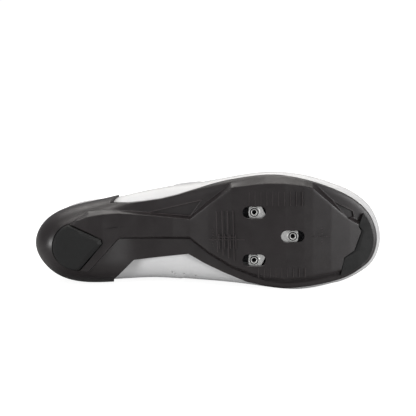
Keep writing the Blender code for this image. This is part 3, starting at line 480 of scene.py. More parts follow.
def sole_under(row, v, grow=0.0):
    """The sole's outer face where it follows the ribs, moved out by grow."""
    row, v = np.broadcast_arrays(np.asarray(row, float), np.asarray(v, float))
    values = row_values(row)
    out_x, out_y = outward(row)
    heel = np.clip(profile(FILL, values[..., ALONG] * LENGTH), 0, 1)
    turn = values[..., TURN] * FEATHER_TURN + HEEL_ROUNDING * heel
    rise = values[..., RISE] * SIDE_RISE
    angle = np.clip((v - V_TURN) / (V_SIDE - V_TURN), 0, 1) * math.pi / 2
    thick = GAP + CUP_WALL + grow
    reach = -turn + (turn + thick) * np.sin(angle)
    x = values[..., ALONG] * LENGTH + out_x * reach
    y = values[..., SIDE] * BALL_WIDTH + out_y * reach
    bottom = underside_height(x) - grow
    top = floor_height(x) + rise
    climb = (1 - np.cos(angle)) ** (1 + FLANGE_FLATNESS * (1 - heel))
    low = np.stack([x, y, bottom + (top - bottom) * climb], -1)
    return np.where((v < V_SIDE)[..., None], low, upper_surface(row, v, thick))


def heel_pad_outline(grow):
    """The pad's round back and its two front corners."""
    first, last = (math.radians(a) for a in PAD_ARC)
    x, y = PAD_CENTRE
    radius = PAD_RADIUS + grow
    angles = np.linspace(first, last - 2 * math.pi, ARC_STEPS + 1)
    tip = [(corner_x + grow, corner_y) for corner_x, corner_y in plan(PAD_TIP)]
    return [(x + radius * math.cos(a), y + radius * math.sin(a)) for a in angles] + tip[::-1]


def toe_pad_height(x):
    """Height of the toe pad's underside, level with the forefoot platform and rising with the toe."""
    table = np.array(BLOCK)
    front = table[table[:, 0] > TOE_PAD_FROM]
    knots = np.append(front[:, 0], 1.0) * LENGTH
    heights = np.append(front[:, 4], TOE_PAD_LIFT) * TOE_SEAT
    return spline(knots, heights, x)


def toe_pad_room():
    """All that lies in front of the pad's back edge and its groove."""
    back = [(x - TOE_GROOVE, y) for x, y in plan(TOE_PAD_EDGE)]
    return back + [(LENGTH, back[-1][1]), (LENGTH, back[0][1])]


def nut_places():
    """Name, x, y and the way the plate's long tail points, for each cleat nut."""
    half = NUT_SPREAD / 2
    return [
        ("nut_lateral", NUT_ROW, NUT_AXIS - half, 1),
        ("nut_medial", NUT_ROW, NUT_AXIS + half, 1),
        ("nut_front", NUT_ROW + NUT_REACH, NUT_AXIS, -1),
    ]


def section(x, ends, offset, count):
    """A line straight over the instep: up the outer side, across the throat and down the inner side."""
    sides = []
    for side, end in zip((1, -1), ends):
        rows = np.linspace(3, ROWS - 0.5, SECTION_ROWS) * side
        line = []
        for v in np.linspace(end, THROAT_EDGE, SECTION_PLACES):
            row = np.interp(x, rib_points(rows, v)[:, 0], rows)
            line.append(upper_surface(row, v, offset))
        sides.append(line)
    line = np.array(sides[0] + sides[1][::-1])
    run = np.concatenate([[0], np.cumsum(np.linalg.norm(np.diff(line, axis=0), axis=1))])
    return spline(run, line, np.linspace(0, run[-1], count))


# %% [markdown]
# ## Camera, floor and light
#
# The camera looks at the sole, a little from the outer side, with the toe to the right. The floor is
# plain and pale, and the shoe lies on it. A soft light hangs above and one behind, as in a product studio:
# they skim the moulded walls that face up and leave the flat black faces dark. Two more stand in front, at
# the left and the right, and a faint sky fills the rest.

# %% Camera
AIM = STANDING @ Vector((142.9 * MM, -24.9 * MM, 20 * MM))
VIEW_FROM = Vector((-0.0039, -0.9718, 0.2358)).normalized()
VIEW_DISTANCE = 1.4
FIELD_WIDTH = 341 * MM
SENSOR = 36.0

lens_to_scene = VIEW_DISTANCE / FIELD_WIDTH
eye = bpy.data.cameras.new("camera")
eye.sensor_width = SENSOR
eye.lens = SENSOR * lens_to_scene
eye.clip_start = 0.05
camera = bpy.data.objects.new("camera", eye)
bpy.context.scene.collection.objects.link(camera)
right = (to_toe - VIEW_FROM * to_toe.dot(VIEW_FROM)).normalized()
placed = Matrix((right, VIEW_FROM.cross(right), VIEW_FROM)).transposed().to_4x4()
placed.translation = AIM + VIEW_FROM * VIEW_DISTANCE
camera.matrix_world = placed
bpy.context.scene.camera = camera
bpy.context.scene.view_settings.view_transform = "Standard"
print("lens", round(eye.lens, 1), "mm, camera", round(camera.location.z, 2), "m above the floor")

# %% Helpers for working by hand
def deselect():
    if bpy.context.mode != "OBJECT":
        bpy.ops.object.mode_set(mode="OBJECT")
    bpy.ops.object.select_all(action="DESELECT")


def activate(piece):
    deselect()
    piece.select_set(True)
    bpy.context.view_layer.objects.active = piece


def edit_all(piece):
    activate(piece)
    bpy.ops.object.mode_set(mode="EDIT")
    bpy.ops.mesh.select_all(action="SELECT")


def leave_edit():
    bpy.ops.object.mode_set(mode="OBJECT")


# %% Floor and lights
FLOOR_SIZE = 12.0
LIT_SPOT = Vector((0.0, 0.0, 0.05))
WARM = (1.0, 0.975, 0.94)
NEUTRAL = (1.0, 1.0, 1.0)
SKY_COLOUR = (0.97, 0.98, 1.0, 1.0)
SKY_STRENGTH = 0.25

deselect()
bpy.ops.mesh.primitive_plane_add(size=FLOOR_SIZE, location=(0, 0, 0))
floor = bpy.context.object
floor.name = "floor"


def soft_light(name, place, size, watts, colour):
    """A rectangular light that faces the shoe."""
    lamp = bpy.data.lights.new(name, "AREA")
    lamp.shape = "RECTANGLE"
    lamp.size, lamp.size_y = size
    lamp.energy = watts
    lamp.color = colour
    made = bpy.data.objects.new(name, lamp)
    made.location = place
    made.rotation_euler = (LIT_SPOT - Vector(place)).to_track_quat("-Z", "Y").to_euler()
    bpy.context.scene.collection.objects.link(made)


soft_light("top_light", (0.0, 0.0, 1.1), (1.3, 0.32), 7.5, WARM)
soft_light("left_light", (-1.35, -1.05, 0.30), (0.6, 0.6), 14, NEUTRAL)
soft_light("right_light", (1.35, -1.05, 0.40), (0.6, 0.6), 14, NEUTRAL)
soft_light("back_light", (0.0, 1.1, 1.1), (1.6, 0.4), 7.5, WARM)

world = bpy.context.scene.world or bpy.data.worlds.new("studio")
bpy.context.scene.world = world
world.use_nodes = True
sky = world.node_tree.nodes
sky.clear()
seen = sky.new("ShaderNodeBackground")
seen.inputs["Color"].default_value = (*NEUTRAL, 1.0)
lighting = sky.new("ShaderNodeBackground")
lighting.inputs["Color"].default_value = SKY_COLOUR
lighting.inputs["Strength"].default_value = SKY_STRENGTH
path = sky.new("ShaderNodeLightPath")
mix = sky.new("ShaderNodeMixShader")
out = sky.new("ShaderNodeOutputWorld")
link = world.node_tree.links.new
link(path.outputs["Is Camera Ray"], mix.inputs["Fac"])
link(lighting.outputs[0], mix.inputs[1])
link(seen.outputs[0], mix.inputs[2])
link(mix.outputs[0], out.inputs["Surface"])

# %% [markdown]
# ## Finishes
#
# Three effects come up in several materials: a fine grain, a soft mottle that keeps a large face from
# looking flat, and a woven mesh. Each is a node group with named inputs, and each material sets its own
# values. The shader and all of its constants stay in the material itself.

# %% Node groups for grain, mottle and weave
def new_group(name, inputs, output):
    """An empty node group with number inputs and one output, and its two end nodes."""
    tree = bpy.data.node_groups.new(name, "ShaderNodeTree")
    for label, value in inputs:
        socket = tree.interface.new_socket(label, in_out="INPUT", socket_type="NodeSocketFloat")
        socket.default_value = value
    tree.interface.new_socket(output, in_out="OUTPUT", socket_type="NodeSocketFloat")
    return tree, tree.nodes.new("NodeGroupInput"), tree.nodes.new("NodeGroupOutput")


def maths(tree, operation, *values):
    """A Math node whose inputs are numbers or sockets."""
    node = tree.nodes.new("ShaderNodeMath")
    node.operation = operation
    for slot, value in zip(node.inputs, values):
        if isinstance(value, (int, float)):
            slot.default_value = value
        else:
            tree.links.new(value, slot)
    return node.outputs[0]


def noise(tree, scale, detail, roughness=0.5):
    place = tree.nodes.new("ShaderNodeTexCoord")
    node = tree.nodes.new("ShaderNodeTexNoise")
    node.inputs["Detail"].default_value = detail
    node.inputs["Roughness"].default_value = roughness
    tree.links.new(place.outputs["Object"], node.inputs["Vector"])
    if isinstance(scale, (int, float)):
        node.inputs["Scale"].default_value = scale
    else:
        tree.links.new(scale, node.inputs["Scale"])
    return node.outputs["Fac"]


def make_grain():
    """Height of a pebbled surface: cells with soft valleys, and a finer noise on top."""
    tree, start, end = new_group("grain", [("Scale", 900.0), ("Pebble", 0.6)], "Height")
    place = tree.nodes.new("ShaderNodeTexCoord")
    cells = tree.nodes.new("ShaderNodeTexVoronoi")
    cells.feature = "SMOOTH_F1"
    tree.links.new(place.outputs["Object"], cells.inputs["Vector"])
    tree.links.new(start.outputs["Scale"], cells.inputs["Scale"])
    pebbles = maths(tree, "MULTIPLY", cells.outputs["Distance"], start.outputs["Pebble"])
    fine = noise(tree, maths(tree, "MULTIPLY", start.outputs["Scale"], 2.3), 3.0)
    rest = maths(tree, "SUBTRACT", 1.0, start.outputs["Pebble"])
    tree.links.new(maths(tree, "ADD", pebbles, maths(tree, "MULTIPLY", fine, rest)), end.inputs[0])
    return tree


def make_mottle():
    """A slow change between two levels, for tone or gloss."""
    tree, start, end = new_group("mottle", [("Scale", 40.0), ("Low", 0.0), ("High", 1.0)], "Value")
    value = noise(tree, start.outputs["Scale"], 4.0, 0.6)
    ranged = tree.nodes.new("ShaderNodeMapRange")
    ranged.inputs["From Min"].default_value = 0.35
    ranged.inputs["From Max"].default_value = 0.65
    tree.links.new(value, ranged.inputs["Value"])
    tree.links.new(start.outputs["Low"], ranged.inputs["To Min"])
    tree.links.new(start.outputs["High"], ranged.inputs["To Max"])
    tree.links.new(ranged.outputs[0], end.inputs[0])
    return tree


def make_weave():
    """Height of a knitted mesh: crossing waves in three directions."""
    tree, start, end = new_group("weave", [("Scale", 500.0)], "Height")
    place = tree.nodes.new("ShaderNodeTexCoord")
    split = tree.nodes.new("ShaderNodeSeparateXYZ")
    tree.links.new(place.outputs["Object"], split.inputs[0])
    waves = []
    for axis in range(3):
        turned = maths(tree, "MULTIPLY", split.outputs[axis], start.outputs["Scale"])
        waves.append(maths(tree, "SINE", maths(tree, "MULTIPLY", turned, 2 * math.pi)))
    crossed = maths(tree, "MULTIPLY", maths(tree, "ADD", waves[0], waves[2]), 0.25)
    deep = maths(tree, "ADD", crossed, maths(tree, "MULTIPLY", waves[1], 0.25))
    tree.links.new(maths(tree, "ADD", deep, 0.5), end.inputs[0])
    return tree


GROUPS = {"grain": make_grain(), "mottle": make_mottle(), "weave": make_weave()}
print("node groups:", sorted(GROUPS))


# %% Helper that builds a finish
def place_group(tree, name, **values):
    node = tree.nodes.new("ShaderNodeGroup")
    node.node_tree = GROUPS[name]
    for label, value in values.items():
        node.inputs[label].default_value = value
    return node.outputs[0]


def finish(name, tone, second, roughness, relief, distance, strength, metallic=0.0, patch=30.0, **constants):
    """A Principled finish: two tones, roughness between two levels, and a relief of grain or weave."""
    made = bpy.data.materials.new(name)
    made.use_nodes = True
    tree = made.node_tree
    shader = tree.nodes["Principled BSDF"]
    for label, value in constants.items():
        shader.inputs[label.replace("_", " ")].default_value = value
    shader.inputs["Metallic"].default_value = metallic
    tones = tree.nodes.new("ShaderNodeMix")
    tones.data_type = "RGBA"
    tones.inputs["A"].default_value = (*tone, 1.0)
    tones.inputs["B"].default_value = (*second, 1.0)
    tree.links.new(place_group(tree, "mottle", Scale=patch, Low=0.0, High=1.0), tones.inputs["Factor"])
    tree.links.new(tones.outputs["Result"], shader.inputs["Base Color"])
    gloss = place_group(tree, "mottle", Scale=patch * 2.7, Low=roughness[0], High=roughness[1])
    tree.links.new(gloss, shader.inputs["Roughness"])
    bump = tree.nodes.new("ShaderNodeBump")
    bump.inputs["Strength"].default_value = strength
    bump.inputs["Distance"].default_value = distance
    kind, scale, pebble = relief
    values = {"Scale": scale, "Pebble": pebble} if kind == "grain" else {"Scale": scale}
    tree.links.new(place_group(tree, kind, **values), bump.inputs["Height"])
    tree.links.new(bump.outputs["Normal"], shader.inputs["Normal"])
    return made


# %% The finishes of this shoe
MOULDED = finish(
    "moulded_composite", (0.0095, 0.0066, 0.0072), (0.0125, 0.0090, 0.0097), (0.36, 0.46),
    relief=("grain", 1500.0, 0.3), distance=0.06 * MM, strength=0.35, Specular_IOR_Level=0.6,
)
# Painted highlight: the gauge lines and pocket beads are the sole's own moulding, made lighter for the light their
# thin edges catch
RIDGE_HIGHLIGHT = finish(
    "ridge_painted_highlight", (0.040, 0.033, 0.034), (0.048, 0.041, 0.042), (0.40, 0.50),
    relief=("grain", 1500.0, 0.3), distance=0.04 * MM, strength=0.2, Specular_IOR_Level=0.45,
)
RUBBER = finish(
    "pad_rubber", (0.0085, 0.0087, 0.0087), (0.0115, 0.0118, 0.0118), (0.56, 0.70),
    relief=("grain", 1300.0, 0.5), distance=0.12 * MM, strength=0.6, Specular_IOR_Level=0.33,
)
WHITE = finish(
    "white_microfibre", (0.69, 0.69, 0.695), (0.72, 0.72, 0.725), (0.38, 0.48),
    relief=("grain", 1100.0, 0.8), distance=0.1 * MM, strength=0.25, Coat_Weight=0.08, Coat_Roughness=0.3,
)
LINING = finish(
    "mesh_lining", (0.10, 0.10, 0.11), (0.14, 0.14, 0.15), (0.8, 0.95),
    relief=("weave", 420.0, 0.0), distance=0.4 * MM, strength=0.7, Sheen_Weight=0.3,
)
TONGUE = finish(
    "tongue_mesh", (0.15, 0.15, 0.16), (0.19, 0.19, 0.20), (0.72, 0.86),
    relief=("weave", 330.0, 0.0), distance=0.5 * MM, strength=0.7, Sheen_Weight=0.2,
)
STRAP = finish(
    "strap_white", (0.62, 0.62, 0.63), (0.66, 0.66, 0.67), (0.42, 0.54),
    relief=("grain", 1400.0, 0.8), distance=0.12 * MM, strength=0.35,
)
INSOLE = finish(
    "insole_cloth", (0.11, 0.11, 0.12), (0.15, 0.15, 0.16), (0.85, 0.95),
    relief=("weave", 600.0, 0.0), distance=0.3 * MM, strength=0.7, Sheen_Weight=0.3,
)
STEEL = finish(
    "nut_steel", (0.80, 0.80, 0.79), (0.88, 0.88, 0.87), (0.30, 0.46),
    relief=("grain", 2500.0, 0.2), distance=0.04 * MM, strength=0.4, metallic=0.8, patch=300.0,
)
# Painted shade: a near-black finish for the boss's groove, standing in for the shade that falls in it
SHADE = finish(
    "groove_painted_shade", (0.012, 0.012, 0.012), (0.016, 0.016, 0.016), (0.6, 0.7),
    relief=("grain", 2500.0, 0.2), distance=0.04 * MM, strength=0.3,
)
THREAD = finish(
    "sewing_thread", (0.66, 0.66, 0.67), (0.72, 0.72, 0.73), (0.6, 0.75),
    relief=("grain", 4000.0, 0.2), distance=0.06 * MM, strength=0.5,
)
FLOOR_PAINT = finish(
    "floor_paint", (0.46, 0.46, 0.46), (0.48, 0.48, 0.48), (0.85, 0.95),
    relief=("grain", 60.0, 0.2), distance=0.2 * MM, strength=0.05, patch=2.0,
)


def perforate(name, material, pitch, radius):
    """A copy of a finish with rows of small holes painted near-black as painted shade, not cut, as seen from above
    the foot.
    """
    made = material.copy()
    made.name = name
    tree = made.node_tree
    shader = tree.nodes["Principled BSDF"]
    place = tree.nodes.new("ShaderNodeTexCoord")
    split = tree.nodes.new("ShaderNodeSeparateXYZ")
    flat = tree.nodes.new("ShaderNodeCombineXYZ")
    cells = tree.nodes.new("ShaderNodeTexVoronoi")
    cells.voronoi_dimensions = "2D"
    cells.inputs["Scale"].default_value = 1 / pitch
    cells.inputs["Randomness"].default_value = 0.0
    tree.links.new(place.outputs["Object"], split.inputs[0])
    across = maths(tree, "ADD", split.outputs["X"], split.outputs["Z"])
    tree.links.new(across, flat.inputs["X"])
    tree.links.new(maths(tree, "SUBTRACT", split.outputs["X"], split.outputs["Z"]), flat.inputs["Y"])
    tree.links.new(flat.outputs[0], cells.inputs["Vector"])
    hole = maths(tree, "LESS_THAN", cells.outputs["Distance"], radius / pitch)
    # Painted shade: each hole's dark colour stands in for the shade inside a real hole
    painted_hole_shade = tree.nodes.new("ShaderNodeMix")
    painted_hole_shade.data_type = "RGBA"
    painted_hole_shade.inputs["B"].default_value = (0.02, 0.02, 0.02, 1.0)
    tree.links.new(hole, painted_hole_shade.inputs["Factor"])
    tree.links.new(shader.inputs["Base Color"].links[0].from_socket, painted_hole_shade.inputs["A"])
    tree.links.new(painted_hole_shade.outputs["Result"], shader.inputs["Base Color"])
    return made


HOLE_RADIUS = 0.75 * MM
# The vamp's holes are painted shade, not cut holes
VAMP = perforate("white_perforated", WHITE, 5.2 * MM, HOLE_RADIUS)


def overexpose(material, strength):
    """Adds an even glow that only the camera sees, so that the floor is white and its shadows stay faint."""
    tree = material.node_tree
    glow = tree.nodes.new("ShaderNodeEmission")
    rays = tree.nodes.new("ShaderNodeLightPath")
    both = tree.nodes.new("ShaderNodeAddShader")
    seen_glow = maths(tree, "MULTIPLY", rays.outputs["Is Camera Ray"], strength)
    tree.links.new(seen_glow, glow.inputs["Strength"])
    tree.links.new(tree.nodes["Principled BSDF"].outputs[0], both.inputs[0])
    tree.links.new(glow.outputs[0], both.inputs[1])
    tree.links.new(both.outputs[0], tree.nodes["Material Output"].inputs["Surface"])


FLOOR_GLOW = 0.88
overexpose(FLOOR_PAINT, FLOOR_GLOW)
floor.data.materials.append(FLOOR_PAINT)

# %% [markdown]
# ## Laying a grid on the last
#
# Most surfaces of a shoe are a net of lines: some go round the foot and some climb it. A primitive grid
# has the same net, so each of its points is moved to a place that the ribs give. Doubled points at the
# seam are merged, and the result is one clean surface that modifiers and Booleans can work on.

# %% Helpers for fine meshes
SEAM = 0.002 * MM


def lay_grid(name, points, finishes, closed=True):
    """A primitive grid, with points[row][column] as its places on the standing shoe."""
    rows, columns = points.shape[:2]
    deselect()
    bpy.ops.mesh.primitive_grid_add(x_subdivisions=columns - 1, y_subdivisions=rows - 1, size=1)
    piece = bpy.context.object
    piece.name = name
    piece.data.name = name
    piece.data.vertices.foreach_set("co", points.reshape(-1).astype(np.float32))
    piece.data.update()
    for material in finishes:
        piece.data.materials.append(material)
    if closed:
        edit_all(piece)
        bpy.ops.mesh.remove_doubles(threshold=SEAM)
        bpy.ops.mesh.normals_make_consistent(inside=False)
        leave_edit()
    return piece


def modify(piece, kind, **settings):
    """Adds a modifier and applies it."""
    activate(piece)
    modifier = piece.modifiers.new(kind.lower(), kind)
    for label, value in settings.items():
        setattr(modifier, label, value)
    bpy.ops.object.modifier_apply(modifier=modifier.name)
    return piece


def cut(piece, cutters, operation="DIFFERENCE"):
    """Cuts all the cutters out of a piece at once, and removes them."""
    tool = join(cutters, "cutter")
    modify(piece, "BOOLEAN", operation=operation, object=tool, solver="EXACT")
    bpy.data.objects.remove(tool)


def join(pieces, name):
    deselect()
    for piece in pieces:
        piece.select_set(True)
    bpy.context.view_layer.objects.active = pieces[0]
    if len(pieces) > 1:
        bpy.ops.object.join()
    pieces[0].name = name
    return pieces[0]


def net_of(rings):
    """Rings as the rows of a grid, with the first point of each repeated to close it."""
    return np.array([np.vstack([ring, ring[:1]]) for ring in rings])


def column(name, rings, finishes=()):
    """A closed solid through rings of as many points each, with its open ends filled."""
    piece = lay_grid(name, net_of(rings), finishes)
    edit_all(piece)
    bpy.ops.mesh.fill_holes(sides=0)
    bpy.ops.mesh.normals_make_consistent(inside=False)
    leave_edit()
    return piece


def at_height(outline, z):
    """An outline in plan as a ring at one height."""
    return np.column_stack([outline, np.full(len(outline), z)])


def prism(name, outline, levels):
    """A column over one outline. levels are pairs of height and how far the outline grows there."""
    outline = np.array(outline, float)
    return column(name, [at_height(grown(outline, grow), z) for z, grow in levels])


def grown(outline, distance):
    """The outline moved outwards by distance, square to its edges."""
    if distance == 0:
        return outline
    before = outline - np.roll(outline, 1, axis=0)
    after = np.roll(outline, -1, axis=0) - outline
    area = np.sum(outline[:, 0] * np.roll(outline[:, 1], -1) - outline[:, 1] * np.roll(outline[:, 0], -1))
    normals = []
    for edge in (before, after):
        edge = edge / np.maximum(np.linalg.norm(edge, axis=1, keepdims=True), 1e-12)
        normals.append(np.column_stack([edge[:, 1], -edge[:, 0]]) * np.sign(area))
    both = normals[0] + normals[1]
    both /= np.maximum(np.sum(both * both, axis=1, keepdims=True) / 2, 0.5)
    return outline + both * distance


def lay_down(piece, body, slot, *nodes, angle=35):
    """Shades the piece, lays it down with the shoe, and hides the solids it stands for."""
    piece.data.transform(STANDING)
    activate(piece)
    bpy.ops.object.shade_smooth_by_angle(angle=math.radians(angle))
    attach(piece, body)
    if nodes:
        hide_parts(*nodes)
    print(piece.name, len(piece.data.polygons), "faces")


# %% [markdown]
# ## The sole
#
# The real sole is one moulding: a cup round the heel, a beam under the waist and a platform under the
# ball, with thin flanges out to its rim. A net of rings follows its rim inwards to a line down the
# middle, and the block of heel, beam and platform is blended in with a soft fillet, as a mould has.
# Sharp openings come last, as cuts: pads, slots, pockets, cores and the two cut-outs at the waist.

# %% The net of the sole
SOLE_ROWS = 350
FLANGE_RINGS = 34
FACE_RINGS = 26
TURN_RINGS = 8
LIP_RINGS = 5
LIP_CROWN = 0.012
FOOT_FILLET = 1.3 * MM
EDGE_FILLET = 0.45 * MM
TURN_STEPS = 200
FLAT_STEPS = 400
LEAST_STEP = 0.0012
WALL_PLACES = (1.36, 1.22, 1.12, 1.05, 1.0, 0.9, 0.75, 0.6, 0.45, 0.3, 0.18, 0.08, 0.0, -0.06, -0.14, -0.25)


def soft_least(first, second, reach):
    """The lower of two heights, with a fillet where they cross."""
    share = np.clip(0.5 + 0.5 * (second - first) / reach, 0, 1)
    return second * (1 - share) + first * share - reach * share * (1 - share)


def block_sides(x, y):
    """Low and high level of the raised block, and how far a place is past its edge, in walls."""
    table = np.array(BLOCK)
    columns = (np.interp(x / LENGTH, table[:, 0], values) for values in table.T[1:])
    lateral, medial, heel, toe, outer_draft, inner_draft = columns
    outwards = (lateral * BALL_WIDTH - y) / (outer_draft * FLANGE)
    past = np.maximum(outwards, (y - medial * BALL_WIDTH) / (inner_draft * FLANGE))
    off_end = np.maximum(table[0, 0] * LENGTH - x, x - table[-1, 0] * LENGTH) / FLANGE
    return heel * HEEL_SEAT + toe * TOE_SEAT, floor_height(x) - BLOCK_SINK, np.maximum(past, off_end)


def block_height(x, y):
    """Underside of the raised block. Past its edges its walls climb to the flange."""
    low, high, past = block_sides(x, y)
    share = EDGE_FILLET / (FLANGE * 1.2)
    return low + (high - low) * 0.5 * (past + np.sqrt(past * past + share * share))


def fine_paths(rows, rim):
    """The underside before the block is blended in: for each row a fine line from the rim to the middle."""
    share = np.linspace(1, 0, TURN_STEPS)
    turn = sole_under(rows[:, None], V_TURN + (rim[:, None] - V_TURN) * share)
    share = np.linspace(0, 1, FLAT_STEPS + 1)[1:, None]
    middle = np.stack(middle_line(rows), -1)[:, None]
    flat = turn[:, -1:, :2] * (1 - share) + middle * share
    flat = np.concatenate([flat, underside_height(flat[..., :1])], axis=2)
    return np.concatenate([turn, flat], axis=1)


def placed_rings(paths):
    """Points at even distances along the paths, but close together on the block's wall."""
    low, high, past = block_sides(paths[..., 0], paths[..., 1])
    foot = np.maximum((paths[..., 2] - low) / (high - low), 0.1)
    climbed = np.maximum.accumulate((past / foot)[:, ::-1], axis=1)[:, ::-1]
    run = np.linalg.norm(np.diff(paths, axis=1), axis=2).cumsum(axis=1)
    run = np.concatenate([0 * run[:, :1], run], axis=1) / run[:, -1:]
    climbed = climbed - 1e-6 * run
    wall = np.array([np.interp(-np.array(WALL_PLACES), -line, at) for line, at in zip(climbed, run)])
    flange = wall[:, :1] * np.linspace(0, 1, FLANGE_RINGS + 1)[:-1]
    face = wall[:, -1:] + (1 - wall[:, -1:]) * np.linspace(0, 1, FACE_RINGS + 1)[1:]
    places = np.concatenate([flange, wall, face], axis=1)
    steps = LEAST_STEP * np.arange(places.shape[1])
    places = np.maximum.accumulate(places - steps, axis=1) + steps
    places = places / places[:, -1:]
    points = np.empty(places.shape + (3,))
    for row in range(len(places)):
        for axis in range(3):
            points[row, :, axis] = np.interp(places[row], run[row], paths[row, :, axis])
    return points


def sole_rings():
    """Rings over the sole's inner face, round the lip of its rim and back under it to its middle."""
    rows = rib_rows(SOLE_ROWS)
    rim = row_values(rows)[..., RIM]
    middle_x, middle_y = middle_line(rows)
    rings = [np.column_stack([middle_x, middle_y, floor_height(middle_x) - GAP])]
    for share in (0.0, 0.5, 1.0):
        rings.append(upper_surface(rows, share * V_TURN + 0 * rim, GAP))
    for share in np.linspace(0, 1, TURN_RINGS + 1)[1:]:
        rings.append(upper_surface(rows, V_TURN + (rim - V_TURN) * share, GAP))
    for angle in np.linspace(0, math.pi, LIP_RINGS + 2)[1:-1]:
        lip = rim + LIP_CROWN * math.sin(angle)
        rings.append(upper_surface(rows, lip, GAP + CUP_WALL * (1 - math.cos(angle)) / 2))
    under = placed_rings(fine_paths(rows, rim))
    block = block_height(under[..., 0], under[..., 1])
    under[..., 2] = soft_least(under[..., 2], block, FOOT_FILLET)
    return rings + [under[:, k] for k in range(under.shape[1])]


sole = lay_grid("sole_moulding", net_of(sole_rings()), [MOULDED])
print("sole net:", len(sole.data.vertices), "points")

# %% Openings of the sole
LIP = 0.5 * MM
HAIR = 0.02 * MM
HEEL_FACE = 0.125 * HEEL_SEAT
DEEP = 80 * MM
BELOW = -6 * MM


def lipped(name, outline, mouth, top):
    """A cutter with a small chamfer where it meets the face at height mouth."""
    return prism(name, outline, [(BELOW, LIP), (mouth, LIP), (mouth + LIP, 0.0), (top, 0.0)])


def following(name, outline, height):
    """A cutter over an outline, from below the sole up to height(x)."""
    outline = np.array(outline)
    margin = 4 * MM
    places = np.linspace(outline[:, 0].min() - margin, outline[:, 0].max() + margin, ARC_STEPS)
    low_y, high_y = outline[:, 1].min() - margin, outline[:, 1].max() + margin
    tops = height(places)
    slab = column(name, [
        np.array([(x, low_y, BELOW), (x, high_y, BELOW), (x, high_y, top), (x, low_y, top)])
        for x, top in zip(places, tops)
    ])
    cut(slab, [prism(name + "_outline", outline, [(2 * BELOW, 0.0), (DEEP, 0.0)])], "INTERSECT")
    return slab


def room_top(x):
    """Just below the flange, so that the toe pad's room cuts into the block alone."""
    return underside_height(x) - HAIR


def pocket_top(x):
    """Inside the flange, as deep as the pockets are."""
    return underside_height(x) + POCKET_DEPTH


slots = [stadium(x, y, SLOT_LENGTH, SLOT_WIDTH) for _, x, y, _ in nut_places()]
cutters = [lipped(f"slot_{k}", outline, 0.0, SLOT_SKIN + MM) for k, outline in enumerate(slots)]
cutters.append(lipped("heel_room", heel_pad_outline(PAD_GROOVE), HEEL_FACE, HEEL_BASE + PAD_SEAT))
cutters.append(following("toe_room", toe_pad_room(), room_top))
cutters += [following(f"pocket_{k}", plan(corners), pocket_top) for k, corners in enumerate(POCKETS)]
cut(sole, cutters)
print("after the openings:", len(sole.data.polygons), "faces")

# %% Seats and cores from above
cutters = []
for name, x, y, way in nut_places():
    front = PLATE_TAIL + NUT_TRAVEL + NUT_CLEARANCE
    back = PLATE_NOSE + NUT_TRAVEL + NUT_CLEARANCE
    seat = stadium(x + way * (front - back) / 2, y, front + back, PLATE_WIDTH + 2 * NUT_CLEARANCE)
    cutters.append(prism(name + "_seat", seat, [(SLOT_SKIN, 0.0), (HEEL_SEAT, 0.0)]))
heel_low = HEEL_BASE + PAD_SEAT + CORE_FLOOR
waist_low = max(row[3] for row in BLOCK) * HEEL_SEAT + CORE_FLOOR
cutters.append(prism("heel_core", plan(HEEL_CORE), [(heel_low, 0.0), (2 * HEEL_SEAT, 0.0)]))
cutters.append(prism("waist_core", plan(WAIST_CORE), [(waist_low, 0.0), (2 * HEEL_SEAT, 0.0)]))
cut(sole, cutters)

# %% The two cut-outs at the waist
# The outer one has a slanted back face, so that the cup's front edge leans forward as it climbs.
CUP_LEAN = 10.5 * MM
CUP_LEAN_FROM = 20 * MM
CUP_LEAN_TO = 46 * MM


def leaning_ring(z):
    """The outer cut-out's outline at height z, its back points moved forward."""
    ring = np.array(plan(OUTER_CUT))
    share = np.interp(z, [CUP_LEAN_FROM, CUP_LEAN_TO], [0.0, 1.0])
    ring[[0, -1, -2], 0] = ring[0, 0] + CUP_LEAN * share
    return at_height(ring, z)


inner_waist = prism("inner_waist", plan(WAIST_CUT), [(BELOW, 0.0), (DEEP, 0.0)])
outer_waist = column("outer_waist", [leaning_ring(z) for z in (BELOW, CUP_LEAN_FROM, CUP_LEAN_TO, DEEP)])
cut(sole, [inner_waist, outer_waist])
lay_down(sole, "shoe", "sole_composite", "sole")

# %% Beads round the pockets
BEAD_RADIUS = 0.36 * MM
BEAD_SIDES = 8


def dense(outline, step, closed=True):
    """The outline with points no further apart than step, its own corners kept."""
    outline = np.array(outline, float)
    ends = np.roll(outline, -1, axis=0) if closed else outline[1:]
    points = []
    for start, end in zip(outline, ends):
        count = max(1, math.ceil(np.linalg.norm(end - start) / step))
        points.extend(start + (end - start) * k / count for k in range(count))
    if not closed:
        points.append(outline[-1])
    return np.array(points)


def bead(name, outline, finishes):
    """A half-sunk round bead along a closed outline on the flange."""
    path = dense(outline, 1.2 * MM)
    path = np.column_stack([path, underside_height(path[:, 0])])
    way = np.roll(path, -1, axis=0) - np.roll(path, 1, axis=0)
    way /= np.linalg.norm(way, axis=1, keepdims=True)
    down = np.array([0.0, 0.0, -1.0])
    side = np.cross(way, down)
    side /= np.linalg.norm(side, axis=1, keepdims=True)
    rings = []
    for angle in np.linspace(0, 2 * math.pi, BEAD_SIDES + 1)[:-1]:
        rings.append(path + BEAD_RADIUS * (math.cos(angle) * side + math.sin(angle) * down))
    return lay_grid(name, net_of(rings + rings[:1]), finishes)


# The beads take the lighter ridge finish, a painted highlight along the pocket rims
beads = [bead(f"bead_{k}", plan(corners), [RIDGE_HIGHLIGHT]) for k, corners in enumerate(POCKETS)]
lay_down(join(beads, "pocket_beads"), "shoe", "sole_composite")


# %% [markdown]
# ## Gauge lines for the cleat
#
# A rider sets the cleat by rows of thin raised lines round the three nuts. Each is a low bar with soft
# sides: a cube is scaled and its lower edges drawn in. Loops lay the bars out by a table with one line a
# row, and all of them are joined into one piece, as the mould makes them.

# %% One bar, copied in rows
BAR_WIDTH = 0.62 * MM
BAR_HEIGHT = 0.28 * MM
BAR_SINK = 0.3 * MM
BAR_DRAFT = 0.55


